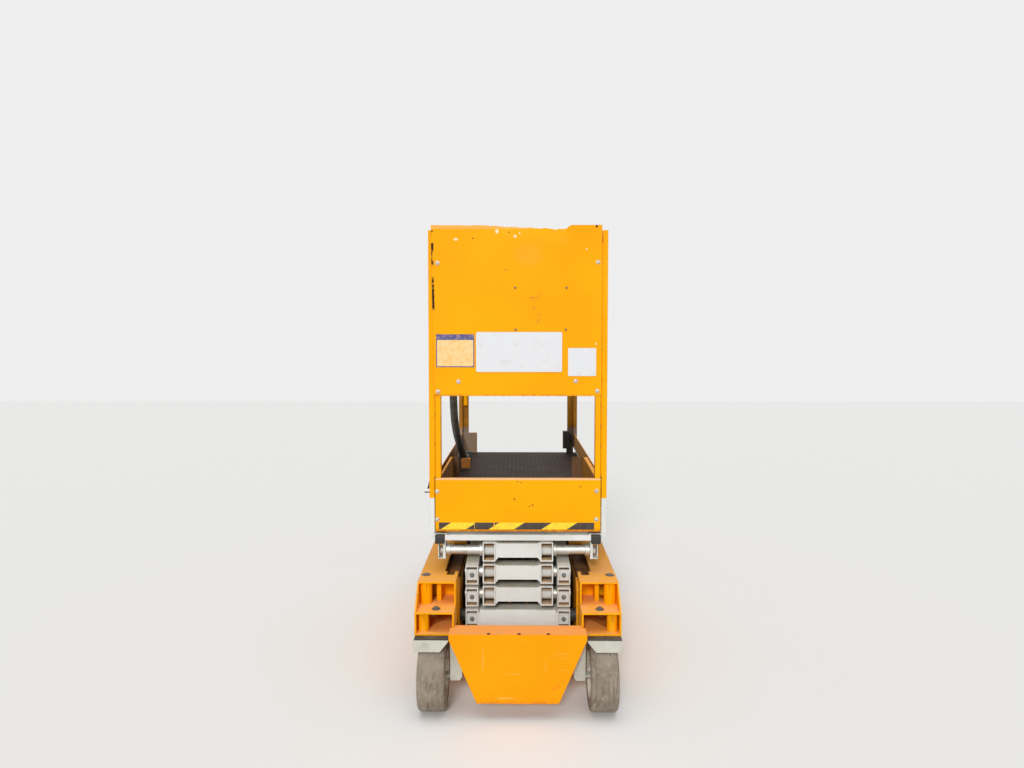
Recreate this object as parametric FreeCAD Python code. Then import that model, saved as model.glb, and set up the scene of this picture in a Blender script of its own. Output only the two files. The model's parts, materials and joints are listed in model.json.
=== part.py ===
import FreeCAD, Part
import math
import os

# Small electric scissor lift, parked and lowered. Millimetres.
# X is to the right as seen from the steered end, Y runs from the steered end to the entry end, Z is up.
# The origin is on the floor under the middle of the machine.

# Overall sizes
WIDTH = 760.0            # over the wheels and the side boxes
LENGTH = 1854.0          # from the front tyres to the foot step
HALF = WIDTH / 2
HALF_LENGTH = LENGTH / 2
TYRE_R = 127.0
FRONT_AXLE_Y = TYRE_R - HALF_LENGTH
WHEELBASE = LENGTH - 454.0
REAR_AXLE_Y = FRONT_AXLE_Y + WHEELBASE

# Wheels
TYRE_W = 102.0
TYRE_INSET = 15.0         # from the machine's side to a tyre's outer face
TYRE_CORNER = 7.0
RIM_R = 88.0
RIM_DISH = 22.0
HUB_R = 26.0
AXLE_R = 12.0
RUNNING_FIT = 0.05
WHEEL_X = HALF - TYRE_INSET - TYRE_W / 2

# Chassis
PLATE = 6.0
SHEET = 3.0
GAP = 6.0                # least clearance between pieces that move past each other
SEAT = 0.3               # clearance of a piece that rests on another body
TUB_HALF = HALF - 145.0   # outer face of the trough's walls
TUB_FLOOR_Z = 150.0
TUB_FRONT_Y = FRONT_AXLE_Y + 145.0
CHASSIS_END_Y = HALF_LENGTH - 75.0
DECK_Z = 462.0           # top of the side boxes
SHELF_Z = 375.0          # top of the upper plate over the steered wheel
ARCH_Z = 296.0           # top of the lower plate over the steered wheel
DECK_FRONT_Y = FRONT_AXLE_Y + 45.0
SHELF_FRONT_Y = FRONT_AXLE_Y - 40.0
ARCH_BACK_Y = FRONT_AXLE_Y + 170.0
POCKET_BACK_Y = REAR_AXLE_Y - 170.0
POCKET_FLOOR_Z = 112.0
REAR_ARCH_Z = 282.0
KINGPIN_X = HALF - 30.0
KINGPIN_R = 12.0
KINGPIN_TUBE_R = 20.0
POST_TUBE_R = 23.0       # upright tube between the shelf and the deck
DOOR_GAP = 5.5
VENTS = 9
HINGE_R = 6.5            # knuckles of the door hinges
HINGE_PIN_R = 3.5
HINGE_X = HALF - 7.0
HINGE_Y = POCKET_BACK_Y - 8.0
HINGE_ZS = (170.0, 330.0)
HINGE_LEAF = 20.0        # height of one knuckle
TIE_DOWN_R = 13.0
TIE_DOWN_X = HALF - 75.0
TIE_DOWN_Z = 405.0

# Front plate
SKIRT_Y = FRONT_AXLE_Y - 105.0
SKIRT_TOP_Z = 320.0
SKIRT_BOTTOM_Z = 66.0
SKIRT_SHOULDER_Z = 300.0
SKIRT_HALF_TOP = TUB_HALF + 14.0
SKIRT_HALF_BOTTOM = TUB_HALF - 87.0
SKIRT_FLANGE = 90.0

# Steering
CAP_TOP_Z = 284.0
CAP_HALF_LENGTH = 70.0
CAP_LIP_Z = 240.0
CAP_CHAMFER = 30.0       # slant of the front lip's inner end
LEG_X0 = TUB_HALF - 29.0
LEG_X1 = TUB_HALF + 15.0
LEG_BOTTOM_Z = 92.0
LEG_HALF_LENGTH = 32.0
STEER_ARM = 120.0        # from the kingpin to the tie rod's pin, towards the rear
TIE_Z = 246.0
TIE_R = 8.0
TIE_EYE_R = 15.0
TIE_PIN_R = 6.0

# Scissor stack
LEVELS = 3
ARM_LENGTH = LENGTH - 494.0   # pin to pin
STACK_STEP = 87.0        # height of one folded level
PIN_Y = FRONT_AXLE_Y + 180.0  # fixed pins
BASE_PIN_Z = 289.0
ARM_H = 75.0
ARM_W = 50.0
ARM_WALL = 5.0
ARM_END = 46.0           # how far a tube runs past its pin
BAR_TOP = 31.0           # the bar between two inner arms narrows from their full height
BAR_LOW = -24.0
BAR_FLARE = 11.0
BAR_RECESS = 8.0
CAP_W = ARM_W - 2 * ARM_WALL
CAP_H = 44.0
CAP_Y = 6.0 - ARM_END
OUTER_X = TUB_HALF - 56.0     # middle of an outer arm
INNER_X = OUTER_X - 67.0      # middle of an inner arm
PIN_R = 15.0
BOSS_R = 24.0
COLLAR_R = 21.0
SHAFT_SLEEVE_R = 18.0
SHAFT_COLLAR_R = 24.5
ROLLER_R = 28.0
TOP_ROLLER_R = 22.0
ROLLER_W = 20.0
ROLLER_RUN = 660.0       # how far the rollers travel towards the steered end

# Lift cylinder, from the trough to a tube between the first inner arms
CYL_PIN_Y = PIN_Y + 300.0
CYL_PIN_Z = BASE_PIN_Z - 60.0
EYE_ALONG = 0.44         # share of the arm's length from its lower pin
EYE_OFFSET = 20.0
CYL_R = 36.0
ROD_R = 20.0
CYL_PIN_R = 12.0
CYL_EAR_X = 30.0
EYE_R = 24.0
EYE_PLAY = 3.3           # room for the eye's small drift in mid travel

# Platform
PLATFORM_HALF = HALF - 35.0
SIDE_FRONT_Y = PIN_Y - 25.0      # front of the side channels and their rails
PLATFORM_FRONT_Y = SIDE_FRONT_Y + 45.0
PLATFORM_BACK_Y = HALF_LENGTH - 67.0
FLOOR_Z = 720.0
FLOOR_T = 4.0
SIDE_TOP_Z = 760.0
SIDE_BOTTOM_Z = 600.0
RAIL_TOP_Z = 1794.0
MID_RAIL_Z = 1265.0
RAIL_H = 40.0
RAIL_T = 20.0
POST_L = 40.0
TOE_TOP_Z = 838.0
TRACK_X = PLATFORM_HALF - 31.0   # web of the slide track
TRACK_FRONT_Y = PIN_Y + ARM_LENGTH / 2 + 60.0

# Extension deck
EXT_GAP = 5.0
EXT_T = 20.0
EXT_FRONT_Y = SIDE_FRONT_Y - 5.0
EXT_LENGTH = 560.0
EXT_FLOOR_Z = 735.0
EXT_TOP_Z = 1765.0
PANEL_HALF = PLATFORM_HALF - 23.5
PANEL_TOP_Z = 1813.0
PANEL_LOW_Z = 1159.0
LOW_PANEL_TOP_Z = 838.0
LOW_PANEL_LOW_Z = 629.0
HEM = 14.0
BOOK_X = 90.0            # middle of the manual box behind the upper panel
BOOK_W = 200.0

TOE_STUB_LEFT = 84.0      # length of the toe plate beside the entry
TOE_STUB_RIGHT = 40.0
EAR_X = 283.0            # lug that carries the top shaft
SHAFT_END = EAR_X + 22.0
BEAM_REACH = 54.0        # the front beam lies outside the circle that the arms' ends turn in

# Entry gate
GATE_R = 12.5
GATE_Y = PLATFORM_BACK_Y - 22.0
GATE_LOW_Z = 1000.0
GATE_RING_ZS = (1060.0, 1600.0)   # rings on the left post that hold the gate's stile
GATE_RING_H = 30.0
GATE_CATCH_Z = 1500.0

# Control box and its conduit
BOX_X0 = 51.0 - PLATFORM_HALF
BOX_X1 = BOX_X0 + 116.0
BOX_Y0 = EXT_FRONT_Y + 170.0
BOX_Y1 = BOX_Y0 + 190.0
BOX_Z0 = 1440.0
BOX_Z1 = 1640.0
CONDUIT_R = 17.0

LEFT, RIGHT = -1, 1
SIDES = ((LEFT, "left"), (RIGHT, "right"))
FOLD = math.degrees(math.asin(STACK_STEP / ARM_LENGTH))
SPREAD = ARM_LENGTH * math.cos(math.radians(FOLD))
FAR_PIN_Y = PIN_Y + SPREAD
TOP_PIN_Z = BASE_PIN_Z + LEVELS * STACK_STEP
V = FreeCAD.Vector


def block(x0, x1, y0, y1, z0, z1):
    """A box between two corners, given in any order."""
    low = V(min(x0, x1), min(y0, y1), min(z0, z1))
    return Part.makeBox(abs(x1 - x0), abs(y1 - y0), abs(z1 - z0), low)


def bar_x(x0, x1, y, z, radius, bore=0.0):
    """A round bar, or a tube, along X."""
    low, length = min(x0, x1), abs(x1 - x0)
    bar = Part.makeCylinder(radius, length, V(low, y, z), V(1, 0, 0))
    return bar.cut(Part.makeCylinder(bore, length, V(low, y, z), V(1, 0, 0))) if bore else bar


def bar_z(x, y, z0, z1, radius, bore=0.0):
    """A round bar, or a tube, along Z."""
    bar = Part.makeCylinder(radius, z1 - z0, V(x, y, z0), V(0, 0, 1))
    return bar.cut(Part.makeCylinder(bore, z1 - z0, V(x, y, z0), V(0, 0, 1))) if bore else bar


def prism(corners, direction):
    """A flat outline pushed along a direction."""
    points = [V(*c) for c in corners]
    return Part.Face(Part.makePolygon(points + points[:1])).extrude(V(*direction))


def mirrored(shape, side):
    """The shape as modelled on the right, or its mirror image on the left."""
    return shape if side == RIGHT else shape.mirror(V(0, 0, 0), V(1, 0, 0))


def both(shape):
    """The shape and its mirror image."""
    return [shape, shape.mirror(V(0, 0, 0), V(1, 0, 0))]


def fuse(*shapes):
    """One shape from several; those that don't touch stay separate solids."""
    flat = [s for item in shapes for s in (item if isinstance(item, (list, tuple)) else [item])]
    whole = flat[0].multiFuse(flat[1:]) if len(flat) > 1 else flat[0]
    return whole.removeSplitter()


def export(node, *shapes):
    """Writes one sub-part."""
    shape = fuse(*shapes)
    shape.exportStep(f"parts/{node}.step")
    print(node, len(shape.Solids), "solids", round(shape.Volume / 1000), "cm3", shape.isValid())


def revolved(profile, x_axis_at):
    """A ring turned about a line along X; the profile holds pairs of x and radius."""
    y, z = x_axis_at
    points = [V(x, y, z + r) for x, r in profile]
    face = Part.Face(Part.makePolygon(points + points[:1]))
    return face.revolve(V(0, y, z), V(1, 0, 0), 360)


def wheel(name, side, y, bore_r):
    """A solid tyre on a dished rim. The rim's open side faces outwards."""
    inner, outer = WHEEL_X - TYRE_W / 2, WHEEL_X + TYRE_W / 2
    corner = TYRE_CORNER
    tread = [(inner, RIM_R), (inner, TYRE_R - corner), (inner + corner, TYRE_R),
             (outer - corner, TYRE_R), (outer, TYRE_R - corner), (outer, RIM_R)]
    web = outer - RIM_DISH
    lip = RIM_R - 8.0
    dish = [(inner + 2, bore_r), (inner + 2, RIM_R), (outer - 2, RIM_R), (outer - 2, lip),
            (web, lip - 10), (web, HUB_R + 8), (web + 12, HUB_R), (web + 12, bore_r)]
    rim = revolved(dish, (y, TYRE_R))
    bolt_ring = [bar_x(web, web + 7, y + (HUB_R + 16) * math.cos(a), TYRE_R + (HUB_R + 16) * math.sin(a), 7)
                 for a in (math.radians(36 + 72 * i) for i in range(5))]
    export(f"tyre_{name}", mirrored(revolved(tread, (y, TYRE_R)), side))
    export(f"rim_{name}", mirrored(fuse(rim, bolt_ring), side))


def trough():
    """The long trough that the scissor folds into: a floor, two walls and the end plate."""
    wall = TUB_HALF - PLATE
    floor_back = CHASSIS_END_Y - PLATE
    floor_top = TUB_FLOOR_Z + PLATE
    ears = both(block(CYL_EAR_X, CYL_EAR_X + 12, CYL_PIN_Y - 22, CYL_PIN_Y + 22, floor_top, CYL_PIN_Z + 20))
    floor = fuse(block(-wall, wall, TUB_FRONT_Y, floor_back, TUB_FLOOR_Z, floor_top), ears)
    export("trough_floor", floor.cut(bar_x(-60, 60, CYL_PIN_Y, CYL_PIN_Z, CYL_PIN_R)))

    arch = REAR_AXLE_Y - TYRE_R - 20, REAR_AXLE_Y + TYRE_R + 20
    relief = block(wall - 1, TUB_HALF + 1, *arch, floor_top, TUB_FLOOR_Z + 60)
    rails = [block(wall - ROLLER_W - 2, wall, FAR_PIN_Y - ROLLER_RUN, floor_back - 20, z0, z0 + PLATE)
             for z0 in (BASE_PIN_Z - ROLLER_R - PLATE - 0.5, BASE_PIN_Z + ROLLER_R + 0.5)]
    nose_cut = prism([(wall - 1, TUB_FRONT_Y, DECK_Z), (wall - 1, TUB_FRONT_Y + 60, DECK_Z),
                      (wall - 1, TUB_FRONT_Y, DECK_Z - 60)], (PLATE + 2, 0, 0))
    side_wall = fuse(block(wall, TUB_HALF, TUB_FRONT_Y, floor_back, TUB_FLOOR_Z, DECK_Z), rails)
    side_wall = side_wall.cut(fuse(relief, nose_cut, bar_x(wall - 1, TUB_HALF + 1, PIN_Y, BASE_PIN_Z, PIN_R)))
    for side, name in SIDES:
        export(f"trough_wall_{name}", mirrored(side_wall, side))

    end = block(-HALF, HALF, floor_back, CHASSIS_END_Y, TUB_FLOOR_Z, DECK_Z)
    tie_downs = both(Part.makeCylinder(TIE_DOWN_R, PLATE, V(TIE_DOWN_X, floor_back, TIE_DOWN_Z), V(0, 1, 0)))
    socket = block(-60, 60, floor_back, CHASSIS_END_Y, DECK_Z - 90, DECK_Z - 40)
    export("chassis_end", end.cut(fuse(tie_downs, socket)))


def steer_box(side, name):
    """The open box over a steered wheel: three plates, two upright tubes and a gusset."""
    deck_low = DECK_Z - PLATE
    outer = HALF - PLATE
    back = ARCH_BACK_Y - PLATE
    pieces = [
        block(TUB_HALF, HALF, DECK_FRONT_Y, back, deck_low, DECK_Z),
        block(TUB_HALF, HALF, SHELF_FRONT_Y, back, SHELF_Z - PLATE, SHELF_Z),
        block(TUB_HALF, HALF, SHELF_FRONT_Y, back, ARCH_Z - PLATE, ARCH_Z),
        block(TUB_HALF, TUB_HALF + PLATE, SHELF_FRONT_Y, back, ARCH_Z - PLATE, SHELF_Z),
        block(TUB_HALF, TUB_HALF + PLATE, DECK_FRONT_Y, back, SHELF_Z, deck_low),
        prism([(outer, SHELF_FRONT_Y, ARCH_Z - PLATE), (outer, SHELF_FRONT_Y, SHELF_Z),
               (outer, DECK_FRONT_Y, DECK_Z), (outer, back, DECK_Z), (outer, back, ARCH_Z - PLATE)], (PLATE, 0, 0)),
        block(TUB_HALF + 59, TUB_HALF + 76, DECK_FRONT_Y + 45, back, SHELF_Z, deck_low),
        bar_z(KINGPIN_X, FRONT_AXLE_Y, ARCH_Z - PLATE, SHELF_Z - PLATE, KINGPIN_TUBE_R),
        bar_z(KINGPIN_X, DECK_FRONT_Y + 30, SHELF_Z, deck_low, POST_TUBE_R),
    ]
    bore = bar_z(KINGPIN_X, FRONT_AXLE_Y, ARCH_Z - PLATE, SHELF_Z - PLATE - 8, KINGPIN_R + RUNNING_FIT)
    export(f"steer_box_{name}", mirrored(fuse(pieces).cut(bore), side))


def side_box(side, name):
    """The pocket with its door behind a steered wheel, and the arch over a driven wheel."""
    floor_back = CHASSIS_END_Y - PLATE
    deck_low = DECK_Z - PLATE
    outer = HALF - PLATE
    front = ARCH_BACK_Y - PLATE
    pieces = [
        block(TUB_HALF, HALF, front, floor_back, deck_low, DECK_Z),
        block(TUB_HALF, HALF, front, ARCH_BACK_Y, POCKET_FLOOR_Z, deck_low),
        block(TUB_HALF, HINGE_X - HINGE_R - 1, ARCH_BACK_Y, POCKET_BACK_Y + PLATE,
              POCKET_FLOOR_Z, POCKET_FLOOR_Z + PLATE),
        block(TUB_HALF, TUB_HALF + PLATE, ARCH_BACK_Y, POCKET_BACK_Y + PLATE, POCKET_FLOOR_Z, TUB_FLOOR_Z + PLATE),
        block(TUB_HALF, HALF, POCKET_BACK_Y, POCKET_BACK_Y + PLATE, POCKET_FLOOR_Z, deck_low),
        block(outer, HALF, POCKET_BACK_Y, floor_back, REAR_ARCH_Z, DECK_Z),
        block(TUB_HALF, HALF, POCKET_BACK_Y, floor_back, REAR_ARCH_Z, REAR_ARCH_Z + PLATE),
    ]
    pin_hole = bar_x(TUB_HALF - 1, TUB_HALF + 16, PIN_Y, BASE_PIN_Z, PIN_R)
    hinges, notches, knuckles = [], [], []
    for z in HINGE_ZS:
        upper = z + HINGE_LEAF
        hinges += [bar_z(HINGE_X, HINGE_Y, z, z + 3 * HINGE_LEAF, HINGE_PIN_R),
                   bar_z(HINGE_X, HINGE_Y, upper, upper + HINGE_LEAF, HINGE_R),
                   block(HINGE_X - 4, HINGE_X + 4, HINGE_Y, POCKET_BACK_Y, upper, upper + HINGE_LEAF)]
        notches.append(block(HINGE_X - HINGE_R - 2, HALF + 1, HINGE_Y - HINGE_R - 2, POCKET_BACK_Y,
                             upper - 1, upper + HINGE_LEAF + 1))
        knuckles += [bar_z(HINGE_X, HINGE_Y, z, upper - 1, HINGE_R),
                     bar_z(HINGE_X, HINGE_Y, upper + HINGE_LEAF + 1, z + 3 * HINGE_LEAF, HINGE_R)]
    export(f"side_box_{name}", mirrored(fuse(fuse(pieces).cut(pin_hole), hinges), side))

    lip = 12.0
    door_x = HALF - SHEET
    y0, y1 = ARCH_BACK_Y + DOOR_GAP, POCKET_BACK_Y - DOOR_GAP
    z0, z1 = POCKET_FLOOR_Z, deck_low - DOOR_GAP
    skin = block(door_x, HALF, y0, y1, z0, z1)
    folds = [block(door_x - lip, door_x, y0, y0 + SHEET, z0 + PLATE + 8, z1),
             block(door_x - lip, door_x, y1 - SHEET, y1, z0 + PLATE + 8, z1),
             block(door_x - lip, door_x, y0, y1, z1 - SHEET, z1)]
    ribs = [block(door_x - 4, door_x, y0 + 60, y1 - 60, z, z + 12) for z in (z0 + 110, z0 + 220)]
    latch_z = (z0 + z1) / 2
    latch = block(door_x - 18, door_x, y0 + 40, y0 + 90, latch_z - 25, latch_z + 25)
    vents = [block(door_x - 1, HALF + 1, y, y + 8, z1 - 120, z1 - 40)
             for y in [y0 + 620 + 26 * i for i in range(VENTS)]]
    door = fuse(skin, folds, ribs, latch, knuckles).cut(fuse(
        notches, vents, bar_z(HINGE_X, HINGE_Y, z0, z1, HINGE_PIN_R + SEAT)))
    export(f"door_{name}", mirrored(door, side))


def chassis():
    """Trough, side boxes, front plate, foot step, rear axle and what lies in the boxes."""
    trough()
    for side, name in SIDES:
        steer_box(side, name)
        side_box(side, name)

    mass_x0, mass_x1 = TUB_HALF + PLATE + 2, HALF - PLATE - 16
    low, y0 = POCKET_FLOOR_Z + PLATE, ARCH_BACK_Y + 30
    pocket_length, pocket_height = POCKET_BACK_Y - ARCH_BACK_Y, DECK_Z - POCKET_FLOOR_Z
    for side, node, length_share, height_share in ((LEFT, "battery_pack", 0.65, 0.72),
                                                   (RIGHT, "hydraulic_unit", 0.55, 0.66)):
        mass = block(mass_x0, mass_x1, y0, y0 + length_share * pocket_length, low, low + height_share * pocket_height)
        export(node, mirrored(mass, side))

    skirt = prism([(-SKIRT_HALF_TOP, SKIRT_Y, SKIRT_TOP_Z), (SKIRT_HALF_TOP, SKIRT_Y, SKIRT_TOP_Z),
                   (SKIRT_HALF_TOP, SKIRT_Y, SKIRT_SHOULDER_Z), (SKIRT_HALF_BOTTOM, SKIRT_Y, SKIRT_BOTTOM_Z),
                   (-SKIRT_HALF_BOTTOM, SKIRT_Y, SKIRT_BOTTOM_Z), (-SKIRT_HALF_TOP, SKIRT_Y, SKIRT_SHOULDER_Z)],
                  (0, PLATE, 0))
    flange_back = SKIRT_Y + SKIRT_FLANGE
    flange = fuse(block(-SKIRT_HALF_TOP, SKIRT_HALF_TOP, SKIRT_Y, SHELF_FRONT_Y - 1, SKIRT_TOP_Z - PLATE, SKIRT_TOP_Z),
                  block(-TUB_HALF, TUB_HALF, SKIRT_Y, flange_back, SKIRT_TOP_Z - PLATE, SKIRT_TOP_Z))
    keel = both(block(60, 60 + PLATE, SKIRT_Y + PLATE, TUB_FRONT_Y, TUB_FLOOR_Z, TUB_FLOOR_Z + 60))
    gusset_x = TUB_HALF - 50
    keel += both(block(gusset_x, gusset_x + PLATE, SKIRT_Y + PLATE, flange_back, SKIRT_TOP_Z - 60, SKIRT_TOP_Z - PLATE))
    hangers = both(block(gusset_x, TUB_HALF, flange_back - PLATE, flange_back, ARCH_Z, SKIRT_TOP_Z))
    export("front_skirt", skirt, flange, keel, hangers)

    step_x, step_zs = TUB_HALF - 85, (TUB_FLOOR_Z + 65, DECK_Z - 77)
    step_side_y = HALF_LENGTH - 22
    tread = [block(-step_x, step_x, CHASSIS_END_Y, HALF_LENGTH, z, z + SHEET) for z in step_zs]
    noses = [block(-step_x, step_x, HALF_LENGTH - SHEET, HALF_LENGTH, z - 18, z) for z in step_zs]
    sides = both(block(step_x - SHEET, step_x, CHASSIS_END_Y, step_side_y, step_zs[0] - 20, step_zs[1] + 35))
    export("entry_step", tread, noses, sides)

    wheel_in, wheel_out = WHEEL_X - TYRE_W / 2, WHEEL_X + TYRE_W / 2
    motor = [bar_x(TUB_HALF + PLATE, wheel_in - 5, REAR_AXLE_Y, TYRE_R, 52)]
    stub = [bar_x(wheel_in - 5, wheel_out - RIM_DISH + 8, REAR_AXLE_Y, TYRE_R, AXLE_R)]
    mount = [block(TUB_HALF - 60, TUB_HALF, REAR_AXLE_Y - 40, REAR_AXLE_Y + 40, TYRE_R, TUB_FLOOR_Z)]
    axle = [s for piece in motor + stub + mount for s in both(piece)]
    export("rear_axle", axle, bar_x(-TUB_HALF - PLATE, TUB_HALF + PLATE, REAR_AXLE_Y, TYRE_R, 22))

    wall = TUB_HALF - PLATE
    base_pins = both(bar_x(OUTER_X - ARM_W / 2 - 4, TUB_HALF + PLATE + 8, PIN_Y, BASE_PIN_Z, PIN_R))
    spacers = both(bar_x(OUTER_X + ARM_W / 2 + 1, wall, PIN_Y, BASE_PIN_Z, BOSS_R))
    export("base_pins", base_pins, spacers)


def steering():
    """Knuckles over the steered wheels, the tie rod between their arms and its cylinder."""
    for side, name in SIDES:
        y = FRONT_AXLE_Y
        top = CAP_TOP_Z
        cap = fuse(block(LEG_X1 + 4, HALF, y - CAP_HALF_LENGTH, y + CAP_HALF_LENGTH, top - PLATE, top),
                   block(LEG_X0, LEG_X1 + 4, y - LEG_HALF_LENGTH, y + LEG_HALF_LENGTH, top - PLATE, top))
        lip = prism([(LEG_X1 + 4, 0, top), (HALF, 0, top), (HALF, 0, CAP_LIP_Z), (LEG_X1 + 4 + CAP_CHAMFER, 0, CAP_LIP_Z),
                     (LEG_X1 + 4, 0, top - PLATE)], (0, PLATE, 0))
        lips = [lip.translated(V(0, y - CAP_HALF_LENGTH, 0))]
        leg = prism([(LEG_X0, y - LEG_HALF_LENGTH, top - PLATE), (LEG_X1, y - LEG_HALF_LENGTH, top - PLATE),
                     (LEG_X1, y - LEG_HALF_LENGTH, LEG_BOTTOM_Z), (LEG_X0 + 22, y - LEG_HALF_LENGTH, LEG_BOTTOM_Z),
                     (LEG_X0, y - LEG_HALF_LENGTH, LEG_BOTTOM_Z + 40)], (0, 2 * LEG_HALF_LENGTH, 0))
        stub = bar_x(LEG_X1, WHEEL_X + TYRE_W / 2 - RIM_DISH + 8, y, TYRE_R, AXLE_R)
        kingpin = bar_z(KINGPIN_X, y, top, SHELF_Z - PLATE - 9, KINGPIN_R)
        washer = bar_z(KINGPIN_X, y, top, ARCH_Z - PLATE - SEAT, KINGPIN_R + 17)
        arm = block(KINGPIN_X - TIE_EYE_R, KINGPIN_X + TIE_EYE_R, y, y + STEER_ARM + TIE_EYE_R, top - PLATE, top)
        ball = bar_z(KINGPIN_X, y + STEER_ARM, TIE_Z - 14, top - PLATE, TIE_PIN_R)
        knuckle = fuse(cap, lips, leg, stub, kingpin, washer, arm, ball)
        export(f"knuckle_{name}", mirrored(knuckle, side))
    tie_y, reach = FRONT_AXLE_Y + STEER_ARM, KINGPIN_X
    eyes = both(bar_z(reach, tie_y, TIE_Z - 12, TIE_Z + 12, TIE_EYE_R, TIE_PIN_R + RUNNING_FIT))
    rod = bar_x(-(reach - TIE_EYE_R + 2), reach - TIE_EYE_R + 2, tie_y, TIE_Z, TIE_R)
    export("tie_rod", eyes, rod)


def arm_tube(x, bosses, capped=False):
    """One arm along +Y from its near pin at the origin, open at both ends, with the bosses for its pins.

    A capped arm has a small plate across its near end, clear of the tube above and below.
    """
    outer = block(x - ARM_W / 2, x + ARM_W / 2, -ARM_END, ARM_LENGTH + ARM_END, -ARM_H / 2, ARM_H / 2)
    inner = block(x - ARM_W / 2 + ARM_WALL, x + ARM_W / 2 - ARM_WALL, -ARM_END, ARM_LENGTH + ARM_END,
                  -ARM_H / 2 + ARM_WALL, ARM_H / 2 - ARM_WALL)
    tube = outer.cut(inner)
    if capped:
        plate = block(x - CAP_W / 2, x + CAP_W / 2, CAP_Y, CAP_Y + SHEET, -CAP_H / 2, CAP_H / 2)
        lug = block(x - 8, x + 8, CAP_Y + SHEET, -BOSS_R + 6, -8, 8)
        tube = fuse(tube, plate, lug)
    rings = [bar_x(x - ARM_W / 2, x + ARM_W / 2, y, 0, BOSS_R) for y in bosses]
    bores = [bar_x(x - ARM_W, x + ARM_W, y, 0, PIN_R + RUNNING_FIT) for y in bosses]
    return fuse(tube, rings).cut(fuse(bores))


def placed(shape, y, z, angle):
    """A piece modelled along +Y from the origin, turned about X and put at its near pin."""
    turned = shape.copy()
    turned.rotate(V(0, 0, 0), V(1, 0, 0), angle)
    turned.translate(V(0, y, z))
    return turned


def scissor():
    """Three levels of crossed arms. Outer arms rise to the far end and inner arms to the near end."""
    stations = (0.0, ARM_LENGTH / 2, ARM_LENGTH)
    outer_face = OUTER_X - ARM_W / 2
    inner_face = INNER_X - ARM_W / 2
    for level in range(LEVELS):
        low, high = BASE_PIN_Z + level * STACK_STEP, BASE_PIN_Z + (level + 1) * STACK_STEP
        first, last = level == 0, level == LEVELS - 1

        outer = both(arm_tube(OUTER_X, stations, capped=True))
        if first:
            outer.append(block(-outer_face, outer_face, -ARM_END, -ARM_END + 90, -34, 26).cut(
                block(-outer_face, outer_face, -ARM_END + PLATE, -ARM_END + 90 - PLATE, -34 + PLATE, 26 - PLATE)))
        export(f"outer_arms_{level + 1}", placed(fuse(outer), PIN_Y, low, FOLD))

        inner = both(arm_tube(INNER_X, stations))
        tie = [(-inner_face, 36), (BAR_FLARE - inner_face, BAR_TOP), (inner_face - BAR_FLARE, BAR_TOP), (inner_face, 36),
               (inner_face, -36), (inner_face - BAR_FLARE, BAR_LOW), (BAR_FLARE - inner_face, BAR_LOW), (-inner_face, -36)]
        bar_y0, bar_y1 = BAR_RECESS - ARM_END, 62
        inner.append(prism([(x, bar_y0, z) for x, z in tie], (0, bar_y1 - bar_y0, 0)).cut(
            block(-inner_face, inner_face, bar_y0 + PLATE, bar_y1 - PLATE, BAR_LOW + PLATE, BAR_TOP - PLATE)))
        inner.append(bar_x(-inner_face, inner_face, ARM_LENGTH - 70, 0, 22, 17))
        if first:
            eye_y = ARM_LENGTH * (1 - EYE_ALONG)
            inner += both(block(34, 46, eye_y - 26, eye_y + 26, EYE_OFFSET - 26, EYE_OFFSET + 20))
            inner += both(bar_x(46, inner_face, eye_y, EYE_OFFSET - 4, 16))
        inner_shape = fuse(inner)
        if first:
            inner_shape = inner_shape.cut(bar_x(-60, 60, eye_y, EYE_OFFSET, CYL_PIN_R + EYE_PLAY))
            inner_shape = inner_shape.cut(bar_x(-34, 34, eye_y, EYE_OFFSET, EYE_R + 2 * EYE_PLAY))
        export(f"inner_arms_{level + 1}", placed(inner_shape, PIN_Y, high, -FOLD))

        inside, outside = inner_face - 4, OUTER_X + ARM_W / 2 + 4
        pin = both(bar_x(inside, outside, 0, 0, PIN_R))
        pin += both(bar_x(INNER_X + ARM_W / 2 + 1, outer_face - 1, 0, 0, COLLAR_R))
        outer_pins = [piece.translated(V(0, ARM_LENGTH / 2, 0)) for piece in pin]
        if not first:
            outer_pins += pin
        if last:
            outer_pins += both(bar_x(outer_face - 4, TRACK_X - PLATE, ARM_LENGTH, 0, PIN_R))
            outer_pins += both(bar_x(TRACK_X - PLATE - ROLLER_W, TRACK_X - PLATE, ARM_LENGTH, 0, TOP_ROLLER_R))
        export(f"outer_pins_{level + 1}", placed(fuse(outer_pins), PIN_Y, low, FOLD))

        if first:
            roller_out = TUB_HALF - PLATE - 1
            inner_pins = both(bar_x(inside, roller_out, ARM_LENGTH, 0, PIN_R))
            inner_pins += both(bar_x(roller_out - ROLLER_W, roller_out, ARM_LENGTH, 0, ROLLER_R))
        else:
            inner_pins = [piece.translated(V(0, ARM_LENGTH, 0)) for piece in pin]
        export(f"inner_pins_{level + 1}", placed(fuse(inner_pins), PIN_Y, high, -FOLD))

    sleeve_in, sleeve_out = INNER_X + ARM_W / 2 + 1, EAR_X - 1
    shaft = [bar_x(-SHAFT_END, SHAFT_END, PIN_Y, TOP_PIN_Z, PIN_R)]
    shaft += both(bar_x(sleeve_in, sleeve_out, PIN_Y, TOP_PIN_Z, SHAFT_SLEEVE_R))
    for x0, x1 in ((sleeve_in, sleeve_in + 13), (sleeve_out - 18, sleeve_out)):
        shaft += both(bar_x(x0, x1, PIN_Y, TOP_PIN_Z, SHAFT_COLLAR_R))
    export("top_shaft", shaft)


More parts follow.
